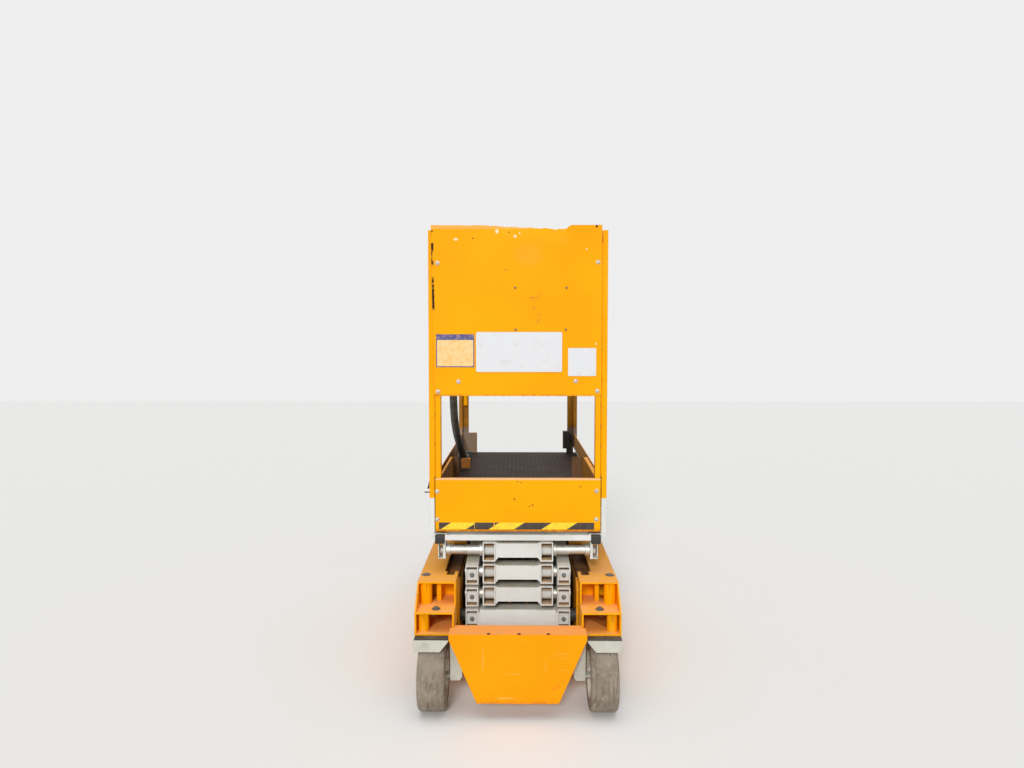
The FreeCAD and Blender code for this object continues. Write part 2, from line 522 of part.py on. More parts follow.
def lift_cylinder():
    """The barrel is pinned in the trough and the rod's eye sits in the first inner arms' bracket."""
    angle, along = math.radians(FOLD), ARM_LENGTH * EYE_ALONG
    eye_y = FAR_PIN_Y - along * math.cos(angle) + EYE_OFFSET * math.sin(angle)
    eye_z = BASE_PIN_Z + along * math.sin(angle) + EYE_OFFSET * math.cos(angle)
    run, rise = eye_y - CYL_PIN_Y, eye_z - CYL_PIN_Z
    length, tilt = math.hypot(run, rise), math.degrees(math.atan2(rise, run))

    def along_y(y0, y1, radius, bore=0.0):
        shape = Part.makeCylinder(radius, y1 - y0, V(0, y0, 0), V(0, 1, 0))
        return shape.cut(Part.makeCylinder(bore, y1 - y0, V(0, y0, 0), V(0, 1, 0))) if bore else shape

    barrel_end = length - 62
    barrel = fuse(along_y(44, barrel_end, CYL_R).cut(along_y(56, barrel_end, ROD_R + RUNNING_FIT)),
                  along_y(barrel_end - 26, barrel_end, CYL_R + 6, ROD_R + RUNNING_FIT),
                  bar_x(1 - CYL_EAR_X, CYL_EAR_X - 1, 0, 0, 26), along_y(8, 44, 24))
    port = Part.makeCylinder(9, 18, V(0, 80, CYL_R - 4), V(0, 0, 1))
    barrel = fuse(barrel, port).cut(bar_x(-40, 40, 0, 0, CYL_PIN_R + RUNNING_FIT))
    pin = bar_x(-46, 46, 0, 0, CYL_PIN_R)
    rod = fuse(along_y(56 + 6, length - 18, ROD_R), bar_x(-33, 33, length, 0, EYE_R))
    rod = rod.cut(bar_x(-40, 40, length, 0, CYL_PIN_R + RUNNING_FIT))
    eye_pin = bar_x(-46, 46, length, 0, CYL_PIN_R)
    export("lift_barrel", placed(barrel, CYL_PIN_Y, CYL_PIN_Z, tilt))
    export("lift_barrel_pin", placed(pin, CYL_PIN_Y, CYL_PIN_Z, tilt))
    export("lift_rod", placed(fuse(rod, eye_pin), CYL_PIN_Y, CYL_PIN_Z, tilt))
    print("cylinder closed", round(length, 2), "tilt", round(tilt, 3), "eye", round(eye_y, 1), round(eye_z, 1))


def rail_frame(x0, x1, y0, y1, post_ys, top, foot, toe_low):
    """A side guard rail: top and middle rails, upright posts and a toe board."""
    pieces = [block(x0, x1, y0, y1, top - RAIL_H, top),
              block(x0, x1, y0, y1, MID_RAIL_Z - 12, MID_RAIL_Z + 13),
              block(x0, x0 + SHEET, y0, y1, toe_low, TOE_TOP_Z)]
    pieces += [block(x0, x1, y, y + POST_L, foot, top) for y in post_ys]
    return fuse(pieces)


def platform():
    """Grey frame, floor, guard rails, gate, control box and conduit."""
    side_in = PLATFORM_HALF - PLATE
    rail_in = PLATFORM_HALF - RAIL_T
    floor_low = FLOOR_Z - FLOOR_T
    back = PLATFORM_BACK_Y
    front = PLATFORM_FRONT_Y
    web_in = rail_in - 40
    frame = both(block(side_in, PLATFORM_HALF, SIDE_FRONT_Y, back, SIDE_BOTTOM_Z, SIDE_TOP_Z))
    frame += both(block(rail_in, PLATFORM_HALF, SIDE_FRONT_Y, SIDE_FRONT_Y + SHEET, SIDE_BOTTOM_Z, SIDE_TOP_Z))
    frame += both(block(rail_in, PLATFORM_HALF, SIDE_FRONT_Y, back, SIDE_TOP_Z - PLATE, SIDE_TOP_Z))
    frame += both(block(web_in, side_in, front, back, SIDE_BOTTOM_Z, SIDE_BOTTOM_Z + PLATE))
    for y in (front, front + 490, front + 980, back - 40):
        channel = block(-side_in, side_in, y + PLATE, y + 40, SIDE_BOTTOM_Z + PLATE, floor_low - PLATE)
        frame.append(block(-side_in, side_in, y, y + 40, SIDE_BOTTOM_Z, floor_low).cut(channel))
    export("platform_frame", fuse(frame))

    bar_low, bar_high = SIDE_BOTTOM_Z, SIDE_BOTTOM_Z + 22
    socket_out, socket_low = EAR_X + 42, SIDE_BOTTOM_Z - 20
    beam_y = PIN_Y - BEAM_REACH
    beam = [block(-EAR_X, EAR_X, beam_y, beam_y + SHEET, bar_low, bar_high)]
    beam += both(block(EAR_X - PLATE, EAR_X, beam_y, front, bar_low, bar_high))
    for wall in (0, 1):
        shell = block(EAR_X + wall * SHEET, socket_out - wall * SHEET, SIDE_FRONT_Y, front,
                      socket_low + wall * SHEET, SIDE_BOTTOM_Z + 20 - wall * SHEET)
        socket = shell if not wall else socket.cut(shell)
    beam += both(socket)
    beam += both(block(EAR_X, EAR_X + 10, SIDE_FRONT_Y, PIN_Y + 30, TOP_PIN_Z - 30, socket_low))
    beam += both(block(EAR_X + 26, EAR_X + 29, SIDE_FRONT_Y, PIN_Y + 30, TOP_PIN_Z - 30, socket_low))
    beam += both(block(EAR_X + 10, EAR_X + 26, SIDE_FRONT_Y, PIN_Y + 30, TOP_PIN_Z - 30, TOP_PIN_Z - 27))
    export("front_beam", fuse(beam).cut(bar_x(-EAR_X - 11, EAR_X + 11, PIN_Y, TOP_PIN_Z, PIN_R + RUNNING_FIT)))

    track_low, track_y1 = TOP_PIN_Z - TOP_ROLLER_R - 7, FAR_PIN_Y + 70
    tracks = both(block(TRACK_X, TRACK_X + PLATE, TRACK_FRONT_Y, track_y1, track_low, SIDE_BOTTOM_Z))
    for z0 in (track_low, TOP_PIN_Z + TOP_ROLLER_R + 0.5):
        tracks += both(block(TRACK_X - 28, TRACK_X, TRACK_FRONT_Y, track_y1, z0, z0 + PLATE + 0.5))
    export("slide_tracks", tracks)

    export("platform_floor", block(-side_in, side_in, front, back, floor_low, FLOOR_Z))

    gate_x = rail_in - GATE_R - EXT_GAP
    posts = (SIDE_FRONT_Y, back - POST_L)
    for side, name in SIDES:
        rail = rail_frame(rail_in, PLATFORM_HALF, SIDE_FRONT_Y, back, posts, RAIL_TOP_Z, SIDE_TOP_Z, SIDE_TOP_Z)
        stub_in = rail_in - (TOE_STUB_LEFT if side == LEFT else TOE_STUB_RIGHT)
        rail = fuse(rail, block(stub_in, rail_in, back - 14, back - 14 + SHEET, FLOOR_Z, TOE_TOP_Z))
        if side == LEFT:
            rings = [fuse(bar_z(gate_x, GATE_Y, z, z + GATE_RING_H, GATE_R + EXT_GAP),
                          block(rail_in - GATE_R, rail_in, GATE_Y - 8, GATE_Y + 8, z, z + GATE_RING_H))
                     for z in GATE_RING_ZS]
            rail = fuse(rail, rings).cut(bar_z(gate_x, GATE_Y, TOE_TOP_Z + 1, RAIL_TOP_Z - RAIL_H, GATE_R + SEAT))
        else:
            rail = fuse(rail, block(rail_in - 3, rail_in, GATE_Y - 16, GATE_Y + 16, GATE_CATCH_Z, GATE_CATCH_Z + 40))
        export(f"guard_rail_{name}", mirrored(rail, side))

    free_x = gate_x - 4
    top_z = RAIL_TOP_Z - 20
    gate = [bar_z(-gate_x, GATE_Y, GATE_LOW_Z, top_z, GATE_R), bar_z(free_x, GATE_Y, GATE_LOW_Z + 180, top_z, GATE_R)]
    gate += [bar_x(-gate_x, free_x, GATE_Y, z, GATE_R - 1.5) for z in (MID_RAIL_Z, top_z - GATE_R - 2)]
    export("gate", gate)

    outlet = block(rail_in - 62, rail_in - 22, back - 60, back - 15, FLOOR_Z + 30, FLOOR_Z + 130)
    bracket = block(rail_in - 62, rail_in - 10, back - 15, back - 14, FLOOR_Z + 60, FLOOR_Z + 110)
    export("outlet_box", outlet, bracket)

    box = block(BOX_X0, BOX_X1, BOX_Y0, BOX_Y1, BOX_Z0, BOX_Z1)
    slope = prism([(BOX_X1, BOX_Y0, BOX_Z1), (BOX_X1, BOX_Y0, BOX_Z1 - 60), (BOX_X1 - 60, BOX_Y0, BOX_Z1)],
                  (0, BOX_Y1 - BOX_Y0, 0))
    box = box.cut(slope)
    strap_top = RAIL_TOP_Z + PLATE
    hang = []
    for y in (BOX_Y0 + 20, BOX_Y1 - 50):
        hang += [block(BOX_X0, BOX_X0 + 4, y, y + 30, BOX_Z1, strap_top),
                 block(-side_in, BOX_X0 + 4, y, y + 30, RAIL_TOP_Z, strap_top)]
    export("control_box", box, hang)


def conduit():
    """Corrugated hose from under the control box to the floor: straight runs joined by tangent arcs."""
    gland_z = BOX_Z0 - 40
    x = BOX_X0 + 16
    y = CONDUIT_ROUTE[0][0]
    end = (x, CONDUIT_END_Y, CONDUIT_ROUTE[-1][1])
    export("conduit_gland", bar_z(x, y, gland_z, BOX_Z0, CONDUIT_R + 5),
           block(x - 26, x + 26, CONDUIT_END_Y, CONDUIT_END_Y + 46, FLOOR_Z, FLOOR_Z + 56))
    route = [(x, y, gland_z), *((x, *point) for point in CONDUIT_ROUTE), end]
    points = [V(*p) for p in route]
    edges, start, length = [], points[0], 0.0
    for before, here, after in zip(points, points[1:], points[2:]):
        into, out = (here - before), (after - here)
        turn = into.getAngle(out)
        radius = 0.45 * min(into.Length, out.Length) / math.tan(turn / 2)
        cut_back = radius * math.tan(turn / 2)
        into.normalize()
        out.normalize()
        a, b = here - into * cut_back, here + out * cut_back
        bisector = (out - into).normalize()
        middle = here + bisector * (radius / math.cos(turn / 2) - radius)
        edges += [Part.LineSegment(start, a).toShape(), Part.Arc(a, middle, b).toShape()]
        length += (a - start).Length + radius * turn
        start = b
        print("conduit radius", round(radius), "turn", round(math.degrees(turn)))
    edges.append(Part.LineSegment(start, points[-1]).toShape())
    length += (points[-1] - start).Length
    wire = Part.Wire(edges)
    ring = Part.Wire(Part.makeCircle(CONDUIT_R, points[0], points[1] - points[0]))
    tube = wire.makePipeShell([ring], True, False)
    print("conduit length", round(length), "volume ratio",
          round(tube.Volume / (math.pi * CONDUIT_R ** 2 * length), 4))
    export("conduit", tube)


def extension():
    """The roll-out deck at the near end, with its rails nested inside the platform's rails."""
    x1 = PLATFORM_HALF - RAIL_T - EXT_GAP
    x0 = x1 - EXT_T
    front, back = EXT_FRONT_Y + SHEET, EXT_FRONT_Y + EXT_LENGTH
    floor_low = EXT_FLOOR_Z - FLOOR_T
    deck = block(-x0, x0, front, back, floor_low, EXT_FLOOR_Z)
    nose = block(-x0, x0, front, front + 34, SIDE_BOTTOM_Z + 34, floor_low)
    nose = nose.cut(block(-x0, x0, front + SHEET, front + 34 - SHEET, SIDE_BOTTOM_Z + 34, floor_low - SHEET))
    pads = both(block(x0 - 60, x0 - 20, back - 80, back - 20, FLOOR_Z + SEAT, floor_low))
    pads += both(block(x0 - 60, x0 - 20, PLATFORM_FRONT_Y + 20, PLATFORM_FRONT_Y + 80, FLOOR_Z + SEAT, floor_low))
    export("extension_deck", deck, pads)
    export("extension_nose", nose)

    frames = []
    for side in (LEFT, RIGHT):
        frame = rail_frame(x0, x1, front, back, (front,), EXT_TOP_Z, FLOOR_Z + GAP, floor_low)
        sliders = [block(x0, x1 + EXT_GAP - SEAT, back - 60, back - 10, z, z + 25)
                   for z in (MID_RAIL_Z - 12, EXT_TOP_Z - 33)]
        leg = block(x0, x1, front, front + 34, LOW_PANEL_LOW_Z, FLOOR_Z + GAP)
        frames.append(mirrored(fuse(frame, leg, sliders), side))
    cross = [block(-x0, x0, front, front + 25, z, z + 25) for z in (PANEL_LOW_Z + 12, EXT_TOP_Z - 25)]
    export("extension_rails", frames, cross)

    for node, low, high in (("end_panel_top", PANEL_LOW_Z, PANEL_TOP_Z),
                            ("end_panel_low", LOW_PANEL_LOW_Z, LOW_PANEL_TOP_Z)):
        sheet = block(-PANEL_HALF, PANEL_HALF, EXT_FRONT_Y, front, low, high)
        hem = block(-x0 + 1, x0 - 1, front, front + HEM, high - SHEET, high)
        export(node, sheet, hem if node == "end_panel_low" else [])
    low, high = PANEL_LOW_Z + 256, PANEL_LOW_Z + 421
    box_x0, box_x1, box_y1 = BOOK_X - BOOK_W / 2, BOOK_X + BOOK_W / 2, front + 60
    export("manual_box", block(box_x0, box_x1, front, box_y1, low, high).cut(
        block(box_x0 + SHEET, box_x1 - SHEET, front + SHEET, box_y1 - SHEET, low + SHEET, high)))


CONDUIT_END_Y = 480.0
# Points of the conduit after its gland: y and z
CONDUIT_ROUTE = [(-330.0, 1345.0), (-326.0, 1285.0), (-316.0, 1225.0), (-299.0, 1166.0), (-271.0, 1110.0),
                 (-232.0, 1058.0), (-180.0, 1010.0), (-116.0, 967.0), (-44.0, 928.0), (34.0, 892.0),
                 (112.0, 857.5), (190.0, 824.0), (266.0, 793.0), (340.0, 768.0), (412.0, 752.0)]

os.makedirs("parts", exist_ok=True)
chassis()
steering()
for corner, corner_side, corner_y in (("front_left", LEFT, FRONT_AXLE_Y), ("front_right", RIGHT, FRONT_AXLE_Y),
                                      ("rear_left", LEFT, REAR_AXLE_Y), ("rear_right", RIGHT, REAR_AXLE_Y)):
    wheel(corner, corner_side, corner_y, AXLE_R + RUNNING_FIT)
scissor()
lift_cylinder()
platform()
conduit()
extension()
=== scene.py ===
"""The look of a small electric scissor lift, parked and lowered. Metres, in the CAD model's own frame."""
import json
import math
import bmesh
import bpy
from mathutils import Matrix, Vector


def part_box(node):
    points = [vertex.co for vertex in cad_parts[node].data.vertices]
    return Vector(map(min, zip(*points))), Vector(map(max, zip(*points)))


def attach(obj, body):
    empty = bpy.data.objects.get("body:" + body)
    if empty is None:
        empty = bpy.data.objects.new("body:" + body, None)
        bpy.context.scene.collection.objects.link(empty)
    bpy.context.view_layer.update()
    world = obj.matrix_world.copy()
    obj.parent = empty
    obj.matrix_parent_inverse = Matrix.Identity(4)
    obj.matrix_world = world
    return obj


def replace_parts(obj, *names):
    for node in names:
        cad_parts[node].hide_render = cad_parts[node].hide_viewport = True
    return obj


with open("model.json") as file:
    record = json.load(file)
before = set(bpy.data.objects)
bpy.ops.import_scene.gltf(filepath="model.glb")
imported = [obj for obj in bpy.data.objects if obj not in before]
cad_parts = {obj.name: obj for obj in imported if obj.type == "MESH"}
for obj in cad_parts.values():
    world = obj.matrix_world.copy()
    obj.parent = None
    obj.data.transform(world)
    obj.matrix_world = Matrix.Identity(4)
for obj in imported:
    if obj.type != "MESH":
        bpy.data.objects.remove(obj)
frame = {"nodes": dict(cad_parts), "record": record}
NODES = frame["nodes"]
SLOT_OF = {part["node"]: part["material_slot"] for part in frame["record"]["subparts"]}
BODY_OF = {node: body for body, nodes in frame["record"]["behaviour"]["bodies"].items() for node in nodes}
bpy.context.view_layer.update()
SIDES = ((-1, "left"), (1, "right"))


# ---- materials

def linear(red, green, blue):
    """An sRGB colour of 0 to 255 as the linear colour that a shader takes."""
    def channel(value):
        value /= 255
        return value / 12.92 if value <= 0.04045 else ((value + 0.055) / 1.055) ** 2.4
    return (channel(red), channel(green), channel(blue), 1.0)


def math_node(operation, swapped=False):
    """A method that adds one Math node; swapped puts the other number first."""
    return lambda value, *others: value.math(operation, *others, swapped=swapped)


class Value:
    """A number in a node tree. Operators on it add Math nodes."""

    def __init__(self, tree, socket):
        self.tree, self.socket = tree, socket

    def math(self, operation, *others, swapped=False):
        inputs = [self, *others][::-1 if swapped else 1]
        return self.tree.value("ShaderNodeMath", {"operation": operation}, dict(enumerate(inputs)))

    def step(self, low, high):
        """0 below low, 1 above high, and smooth between them. A high below low turns it round."""
        if low > high:
            return 1 - self.step(high, low)
        return self.tree.value("ShaderNodeMapRange", {"interpolation_type": "SMOOTHSTEP"},
                               {"Value": self, "From Min": low, "From Max": high})

    __add__ = __radd__ = math_node("ADD")
    __mul__ = __rmul__ = math_node("MULTIPLY")
    __sub__, __rsub__ = math_node("SUBTRACT"), math_node("SUBTRACT", True)
    __truediv__, __pow__ = math_node("DIVIDE"), math_node("POWER")
    __gt__, __lt__ = math_node("GREATER_THAN"), math_node("LESS_THAN")
    __abs__, least, most = math_node("ABSOLUTE"), math_node("MINIMUM"), math_node("MAXIMUM")


class Tree:
    """A node tree under construction: one method adds any node."""

    def __init__(self, tree):
        self.tree = tree
        tree.nodes.clear()

    def node(self, kind, settings=None, values=None):
        made = self.tree.nodes.new(kind)
        for name, setting in (settings or {}).items():
            setattr(made, name, setting)
        for name, value in (values or {}).items():
            value = getattr(value, "socket", value)
            if isinstance(value, bpy.types.NodeSocket):
                self.tree.links.new(value, made.inputs[name])
            else:
                made.inputs[name].default_value = value
        return made

    def value(self, kind, settings=None, values=None, output=0):
        """Adds a node and takes one of its outputs."""
        return Value(self, self.node(kind, settings, values).outputs[output])


class Finish(Tree):
    """A material under construction. Its colour is what has been laid on so far."""

    def __init__(self, name):
        self.material = bpy.data.materials.new(name)
        self.material.use_nodes = True
        super().__init__(self.material.node_tree)
        coordinates = self.node("ShaderNodeTexCoord").outputs
        self.place = coordinates["Object"]
        self.x, self.y, self.z = self.parts(self.place)
        self.aside, self.behind, self.up = self.parts(coordinates["Normal"])

    def parts(self, vector):
        """A vector's three numbers."""
        return [Value(self, part) for part in self.node("ShaderNodeSeparateXYZ", {}, {0: vector}).outputs]

    def stretched(self, along):
        """The place on the piece, scaled by a different number along each axis if there are any."""
        return self.value("ShaderNodeMapping", {}, {"Vector": self.place, "Scale": along}) if along else self.place

    def noise(self, scale, detail=4.0, rough=0.55, seed=0.0, along=None):
        values = {"Vector": self.stretched(along), "W": seed, "Scale": scale, "Detail": detail, "Roughness": rough}
        return self.value("ShaderNodeTexNoise", {"noise_dimensions": "4D"}, values, "Fac")

    def mix(self, below, above, share):
        """Two colours, by a share of 0 to 1. Three numbers are sRGB, four are linear."""
        below, above = (linear(*tone) if isinstance(tone, tuple) and len(tone) == 3 else tone
                        for tone in (below, above))
        return self.node("ShaderNodeMix", {"data_type": "RGBA"}, {0: share, 6: below, 7: above}).outputs[2]

    def over(self, above, share):
        """Lays a colour over the colour so far."""
        self.colour = self.mix(self.colour, above, share)

    def blot(self, x, z, half_x, half_z, soft=0.3):
        """1 inside a soft-edged oval that lies across X and Z, and 0 outside it."""
        away = ((self.x - x) / half_x) ** 2 + ((self.z - z) / half_z) ** 2
        return away.step(1.0 + soft, 1.0 - soft)

    def marks(self, colour, strength, wear, soft, ovals):
        """Lays a colour on worn ovals, one after another, and returns where they are."""
        found = None
        for oval in ovals:
            mark = self.blot(*oval, soft) * wear
            self.over(colour, mark * strength)
            found = found.most(mark) if found else mark
        return found

    def frame_of(self, x0, x1, z0, z1):
        """How far a point lies inside a rectangle across X and Z; negative outside it."""
        return (self.x - x0).least(x1 - self.x).least((self.z - z0).least(z1 - self.z))

    def rounded(self, radius):
        """The normal with the piece's edges rounded."""
        return self.node("ShaderNodeBevel", {"samples": 6}, {"Radius": radius}).outputs[0]

    def edges(self, width):
        """1 on the piece's edges and 0 on its faces."""
        true = self.node("ShaderNodeNewGeometry").outputs["Normal"]
        return self.value("ShaderNodeVectorMath", {"operation": "DOT_PRODUCT"}, {0: self.rounded(width), 1: true},
                          "Value").step(0.995, 0.93)

    def done(self, rough, metal=0.0, height=None, depth=0.001, corner=0.0, coat=0.0, gloss=0.5):
        """Closes the material. Height is in shares of depth, which is in metres. Gloss is the plain specular level."""
        values = {"Base Color": self.colour, "Roughness": rough, "Metallic": metal, "Coat Weight": coat,
                  "Coat Roughness": 0.25, "Specular IOR Level": gloss}
        bump = {"Height": height, "Distance": depth, "Strength": 1.0}
        if corner:
            values["Normal"] = bump["Normal"] = self.rounded(corner)
        if height is not None:
            values["Normal"] = self.node("ShaderNodeBump", {}, bump).outputs[0]
        shader = self.node("ShaderNodeBsdfPrincipled", {}, values)
        self.node("ShaderNodeOutputMaterial", {}, {"Surface": shader.outputs[0]})
        return self.material


RUST = (96, 52, 30)
GRIME = (70, 52, 40)


def faded_orange(name, scars=None, dirt=0.5, chip=0.5, green=177):
    """Bright yellow-orange machine enamel: salmon with dust and painted sunlight where it faces up, painted shade where
    it faces down, chipped on its edges.
    """
    paint = Finish(name)
    broad = paint.noise(3.0, 3, seed=1.3)
    fine = paint.noise(38.0, 5, 0.6, seed=4.1)
    paint.colour = paint.mix((255, green, 0), (255, green - 8, 0), broad.step(0.35, 0.7))
    # Dust and painted sunlight: faces that face up turn salmon and paler.
    lit = paint.up.step(0.55, 0.9)
    dust_and_sunlit_tone = paint.mix((255, 180, 84), (252, 183, 116), fine.step(0.4, 0.65))
    paint.over(dust_and_sunlit_tone, lit * (0.62 + 0.38 * broad.step(0.3, 0.6)))
    # Painted shade: faces that face down turn a darker orange.
    shade = (1 - paint.up.step(-0.7, -0.3)) * 0.35
    paint.over((214, 140, 22), shade)
    streak = paint.noise(26.0, 4, 0.62, along=(1.0, 1.0, 0.12), seed=7.0)
    paint.over(GRIME, streak.step(0.66, 0.82) * (0.25 * dirt))
    scratch = paint.noise(60.0, 2, 0.5, along=(0.08, 0.08, 1.0), seed=2.0).step(0.735, 0.75)
    paint.over((255, 206, 120), scratch * 0.35)
    spots = paint.noise(85.0, 2, 0.5, seed=9.0).step(0.745, 0.77) * paint.noise(6.0, 2, seed=3.0).step(0.5, 0.62)
    paint.over((150, 84, 40), spots * chip)
    edge = paint.edges(0.0035) * fine.step(0.5, 0.62)
    paint.over((150, 92, 58), edge * 0.75)
    bare = scars(paint, spots) if scars else spots
    rough = 0.42 + 0.2 * fine + 0.22 * lit + 0.15 * bare
    height = paint.noise(150.0, 3, seed=5.0) * 0.35 - bare * 0.6 + broad * 0.8
    return paint.done(rough, height=height, depth=0.0008, corner=0.002, gloss=0.1)


def inner_shade_and_dirt(paint, bare):
    """Brown dirt and painted shade on the inner faces of the toe boards and on the posts at the entry."""
    patches = paint.noise(7.0, 4, 0.6, seed=31.0).step(0.3, 0.6)
    inward = (paint.aside * paint.x.math("SIGN")).step(-0.1, -0.6)
    toe = paint.z.step(0.852, 0.836) * inward
    post = paint.y.step(0.7, 0.78) * paint.up.step(0.6, 0.3) * (0.4 + 0.6 * inward.most(paint.behind.step(-0.2, -0.7)))
    # Painted shade and dirt: inward faces of the toe boards and the posts at the entry turn brown.
    paint.over((104, 74, 46), toe * (0.72 + 0.24 * patches) * (1 - 0.4 * (paint.x > 0)))
    paint.over((146, 100, 42), post * (0.6 + 0.3 * patches))
    mud = post * paint.z.step(0.872, 0.862)
    paint.over((150, 134, 120), mud * (0.55 + 0.4 * patches))
    return bare.most(toe * 0.4)


def top_panel_scars(paint, bare):
    """The marks on the big end panel: white knocks at the top, rust in the middle, painted shadow along the dented left
    edge, and a painted highlight on the top edge.
    """
    ragged = paint.noise(90.0, 4, 0.65, seed=6.0)
    paint.marks((255, 232, 196), 0.9, ragged.step(0.3, 0.45), 0.45,
                [(-0.0804, 1.79, 0.0065, 0.009), (-0.0112, 1.771, 0.006, 0.0055), (-0.2382, 1.7595, 0.008, 0.005),
                 (0.006, 1.783, 0.003, 0.003), (0.262, 1.722, 0.003, 0.003), (0.3, 1.36, 0.003, 0.004)])
    worn = paint.marks((204, 122, 54), 0.65, ragged.step(0.47, 0.6), 0.7,
                       [(0.06, 1.535, 0.017, 0.01), (0.083, 1.546, 0.005, 0.012), (0.062, 1.505, 0.006, 0.012),
                        (0.08, 1.462, 0.009, 0.016), (0.066, 1.441, 0.015, 0.005), (0.052, 1.452, 0.005, 0.004),
                        (-0.052, 1.644, 0.018, 0.003), (-0.115, 1.757, 0.01, 0.002)])
    pale = paint.blot(0.04, 1.7, 0.05, 0.04, 0.9) * 0.22
    paint.over((255, 170, 70), pale)
    paint.marks((70, 40, 26), 1.0, 1.0, 0.3,
                [(-0.0345, 1.786, 0.0022, 0.0033), (-0.173, 1.763, 0.002, 0.003), (0.3, 1.808, 0.004, 0.006)])
    # Painted shadow: a near-black band on the dented left edge stands in for the gap behind it, where the sheet stands
    # off the post.
    left_edge_gap = (paint.x + 0.3225 + 0.0145 * (paint.z - 1.17) - 0.009 * ragged).step(0.0035, 0.0)
    high = paint.z.step(1.485, 1.5) * paint.z.step(1.625, 1.6)
    top = paint.z.step(1.655, 1.67) * paint.z.step(1.8, 1.785) * paint.noise(25.0, 2, seed=8.0).step(0.42, 0.5)
    gone = left_edge_gap * (high * ragged.step(0.36, 0.45)).most(top)
    paint.over((52, 36, 30), gone)
    # Painted highlight: a paler band on the top edge, on the left, where the sheet folds back.
    top_edge_highlight = paint.z.step(1.795, 1.803) * paint.x.step(0.1, 0.02)
    paint.over((255, 186, 96), top_edge_highlight * 0.75)
    hem = (paint.z.step(1.17, 1.162) + paint.blot(-0.305, 1.163, 0.016, 0.006)).least(1.0)
    paint.over((196, 112, 40), hem * ragged.step(0.45, 0.6) * 0.7)
    return bare.most(worn * 0.5).most(gone)


def low_panel_scars(paint, bare):
    """The marks on the low end panel: pits, grime along its bottom edge, and a painted highlight along its top edge."""
    ragged = paint.noise(80.0, 4, 0.65, seed=16.0)
    paint.marks((150, 82, 30), 0.9, ragged.step(0.38, 0.5), 0.8,
                [(-0.012, 0.757, 0.005, 0.005), (0.057, 0.734, 0.004, 0.004), (0.243, 0.806, 0.004, 0.004),
                 (-0.002, 0.824, 0.004, 0.004), (0.012, 0.822, 0.003, 0.003), (0.045, 0.728, 0.003, 0.003)])
    dirty = (paint.z.step(0.645, 0.631) * ragged.step(0.3, 0.55)).least(1.0)
    paint.over((196, 104, 38), dirty * 0.8)
    # Painted highlight: a pale band along the top edge.
    top_edge_highlight = paint.z.step(0.83, 0.8345)
    paint.over((252, 196, 140), top_edge_highlight)
    return bare


def skirt_scars(paint, bare):
    """The marks on the front plate: scuffs, short scratches, a top fold with wear and painted sunlight."""
    ragged = paint.noise(60.0, 4, 0.65, seed=26.0)
    paint.marks((255, 204, 120), 0.35, ragged.step(0.35, 0.5), 0.6,
                [(-0.126, 0.225, 0.002, 0.045), (0.159, 0.25, 0.03, 0.0012), (0.163, 0.235, 0.024, 0.0012),
                 (0.16, 0.191, 0.02, 0.0015), (-0.02, 0.176, 0.04, 0.0012), (0.1, 0.205, 0.0015, 0.02)])
    worn = paint.noise(7.0, 3, seed=12.0).step(0.5, 0.64) * ragged.step(0.53, 0.64)
    paint.over((240, 132, 30), worn * 0.5)
    pits = paint.noise(120.0, 2, seed=13.0).step(0.72, 0.74)
    paint.over((160, 92, 50), pits * 0.7)
    # Wear and painted sunlight: the top fold is paler salmon where it faces up.
    fold = paint.z.step(0.311, 0.318) * paint.up.step(0.2, 0.6)
    paint.over((250, 162, 90), fold * 0.6)
    low = paint.z.step(0.085, 0.068) * ragged.step(0.35, 0.6)
    paint.over((190, 110, 40), low * 0.5)
    return bare.most(pits * 0.5)


def door_marks(paint, bare):
    """Flush screws, a round latch with its key slot, and soot round the louvres of the service doors."""
    flat = abs(paint.aside).step(0.8, 0.95)

    def disc(y, z, radius):
        return ((paint.y - y) ** 2 + (paint.z - z) ** 2).step(radius ** 2 * 1.1, radius ** 2 * 0.9) * flat

    for y in (-0.598, 0.395):
        for z in (0.14, 0.282, 0.424):
            paint.over((120, 72, 34), disc(y, z, 0.0085) * 0.6)
            paint.over((190, 184, 172), disc(y, z, 0.0065))
            # Painted shade: the dark middle of each screw is its recess.
            paint.over((60, 54, 50), disc(y, z, 0.0022))
    paint.over((52, 50, 48), disc(-0.56, 0.3, 0.019))
    paint.over((168, 164, 156), disc(-0.56, 0.3, 0.0105))
    # Painted shade: the key slot is painted dark.
    slot = (abs(paint.y + 0.56) < 0.0014) * (abs(paint.z - 0.3) < 0.0065) * flat
    paint.over((40, 38, 36), slot)
    soot = ((paint.y - 0.104) / 0.135) ** 2 + ((paint.z - 0.35) / 0.075) ** 2
    ragged = paint.noise(24.0, 4, 0.6, seed=44.0).step(0.35, 0.7)
    paint.over((150, 96, 44), soot.step(1.2, 0.3) * ragged * flat * 0.5)
    streaks = paint.noise(30.0, 3, 0.6, along=(1.0, 1.0, 0.15), seed=45.0).step(0.6, 0.75)
    low = paint.z.step(0.22, 0.12)
    paint.over((156, 108, 62), (low * 0.5 + 0.15) * streaks * flat)
    return bare


ARM_LENGTH, ARM_SPREAD, LEVEL_STEP = 1.36, 1.3572, 0.087
ARM_RISE = LEVEL_STEP / ARM_SPREAD
NEAR_PIN_Y, LOWEST_PIN_Z = -0.62, 0.289
OUTER_ARM_X, INNER_ARM_X = 0.179, 0.112


def inside_tubes(paint, middle, rise):
    """1 on what lies inside the folded arms' open tubes, given their middle in X and their rise along Y."""
    level = (paint.z - rise * (paint.y - NEAR_PIN_Y) - LOWEST_PIN_Z) / LEVEL_STEP + 0.5
    above_axis = abs(level.math("FRACT") - 0.5) * LEVEL_STEP
    walls = abs(abs(paint.x) - middle)
    return (above_axis < 0.0335) * (walls < 0.0212) * paint.behind.step(-0.9, -0.7)


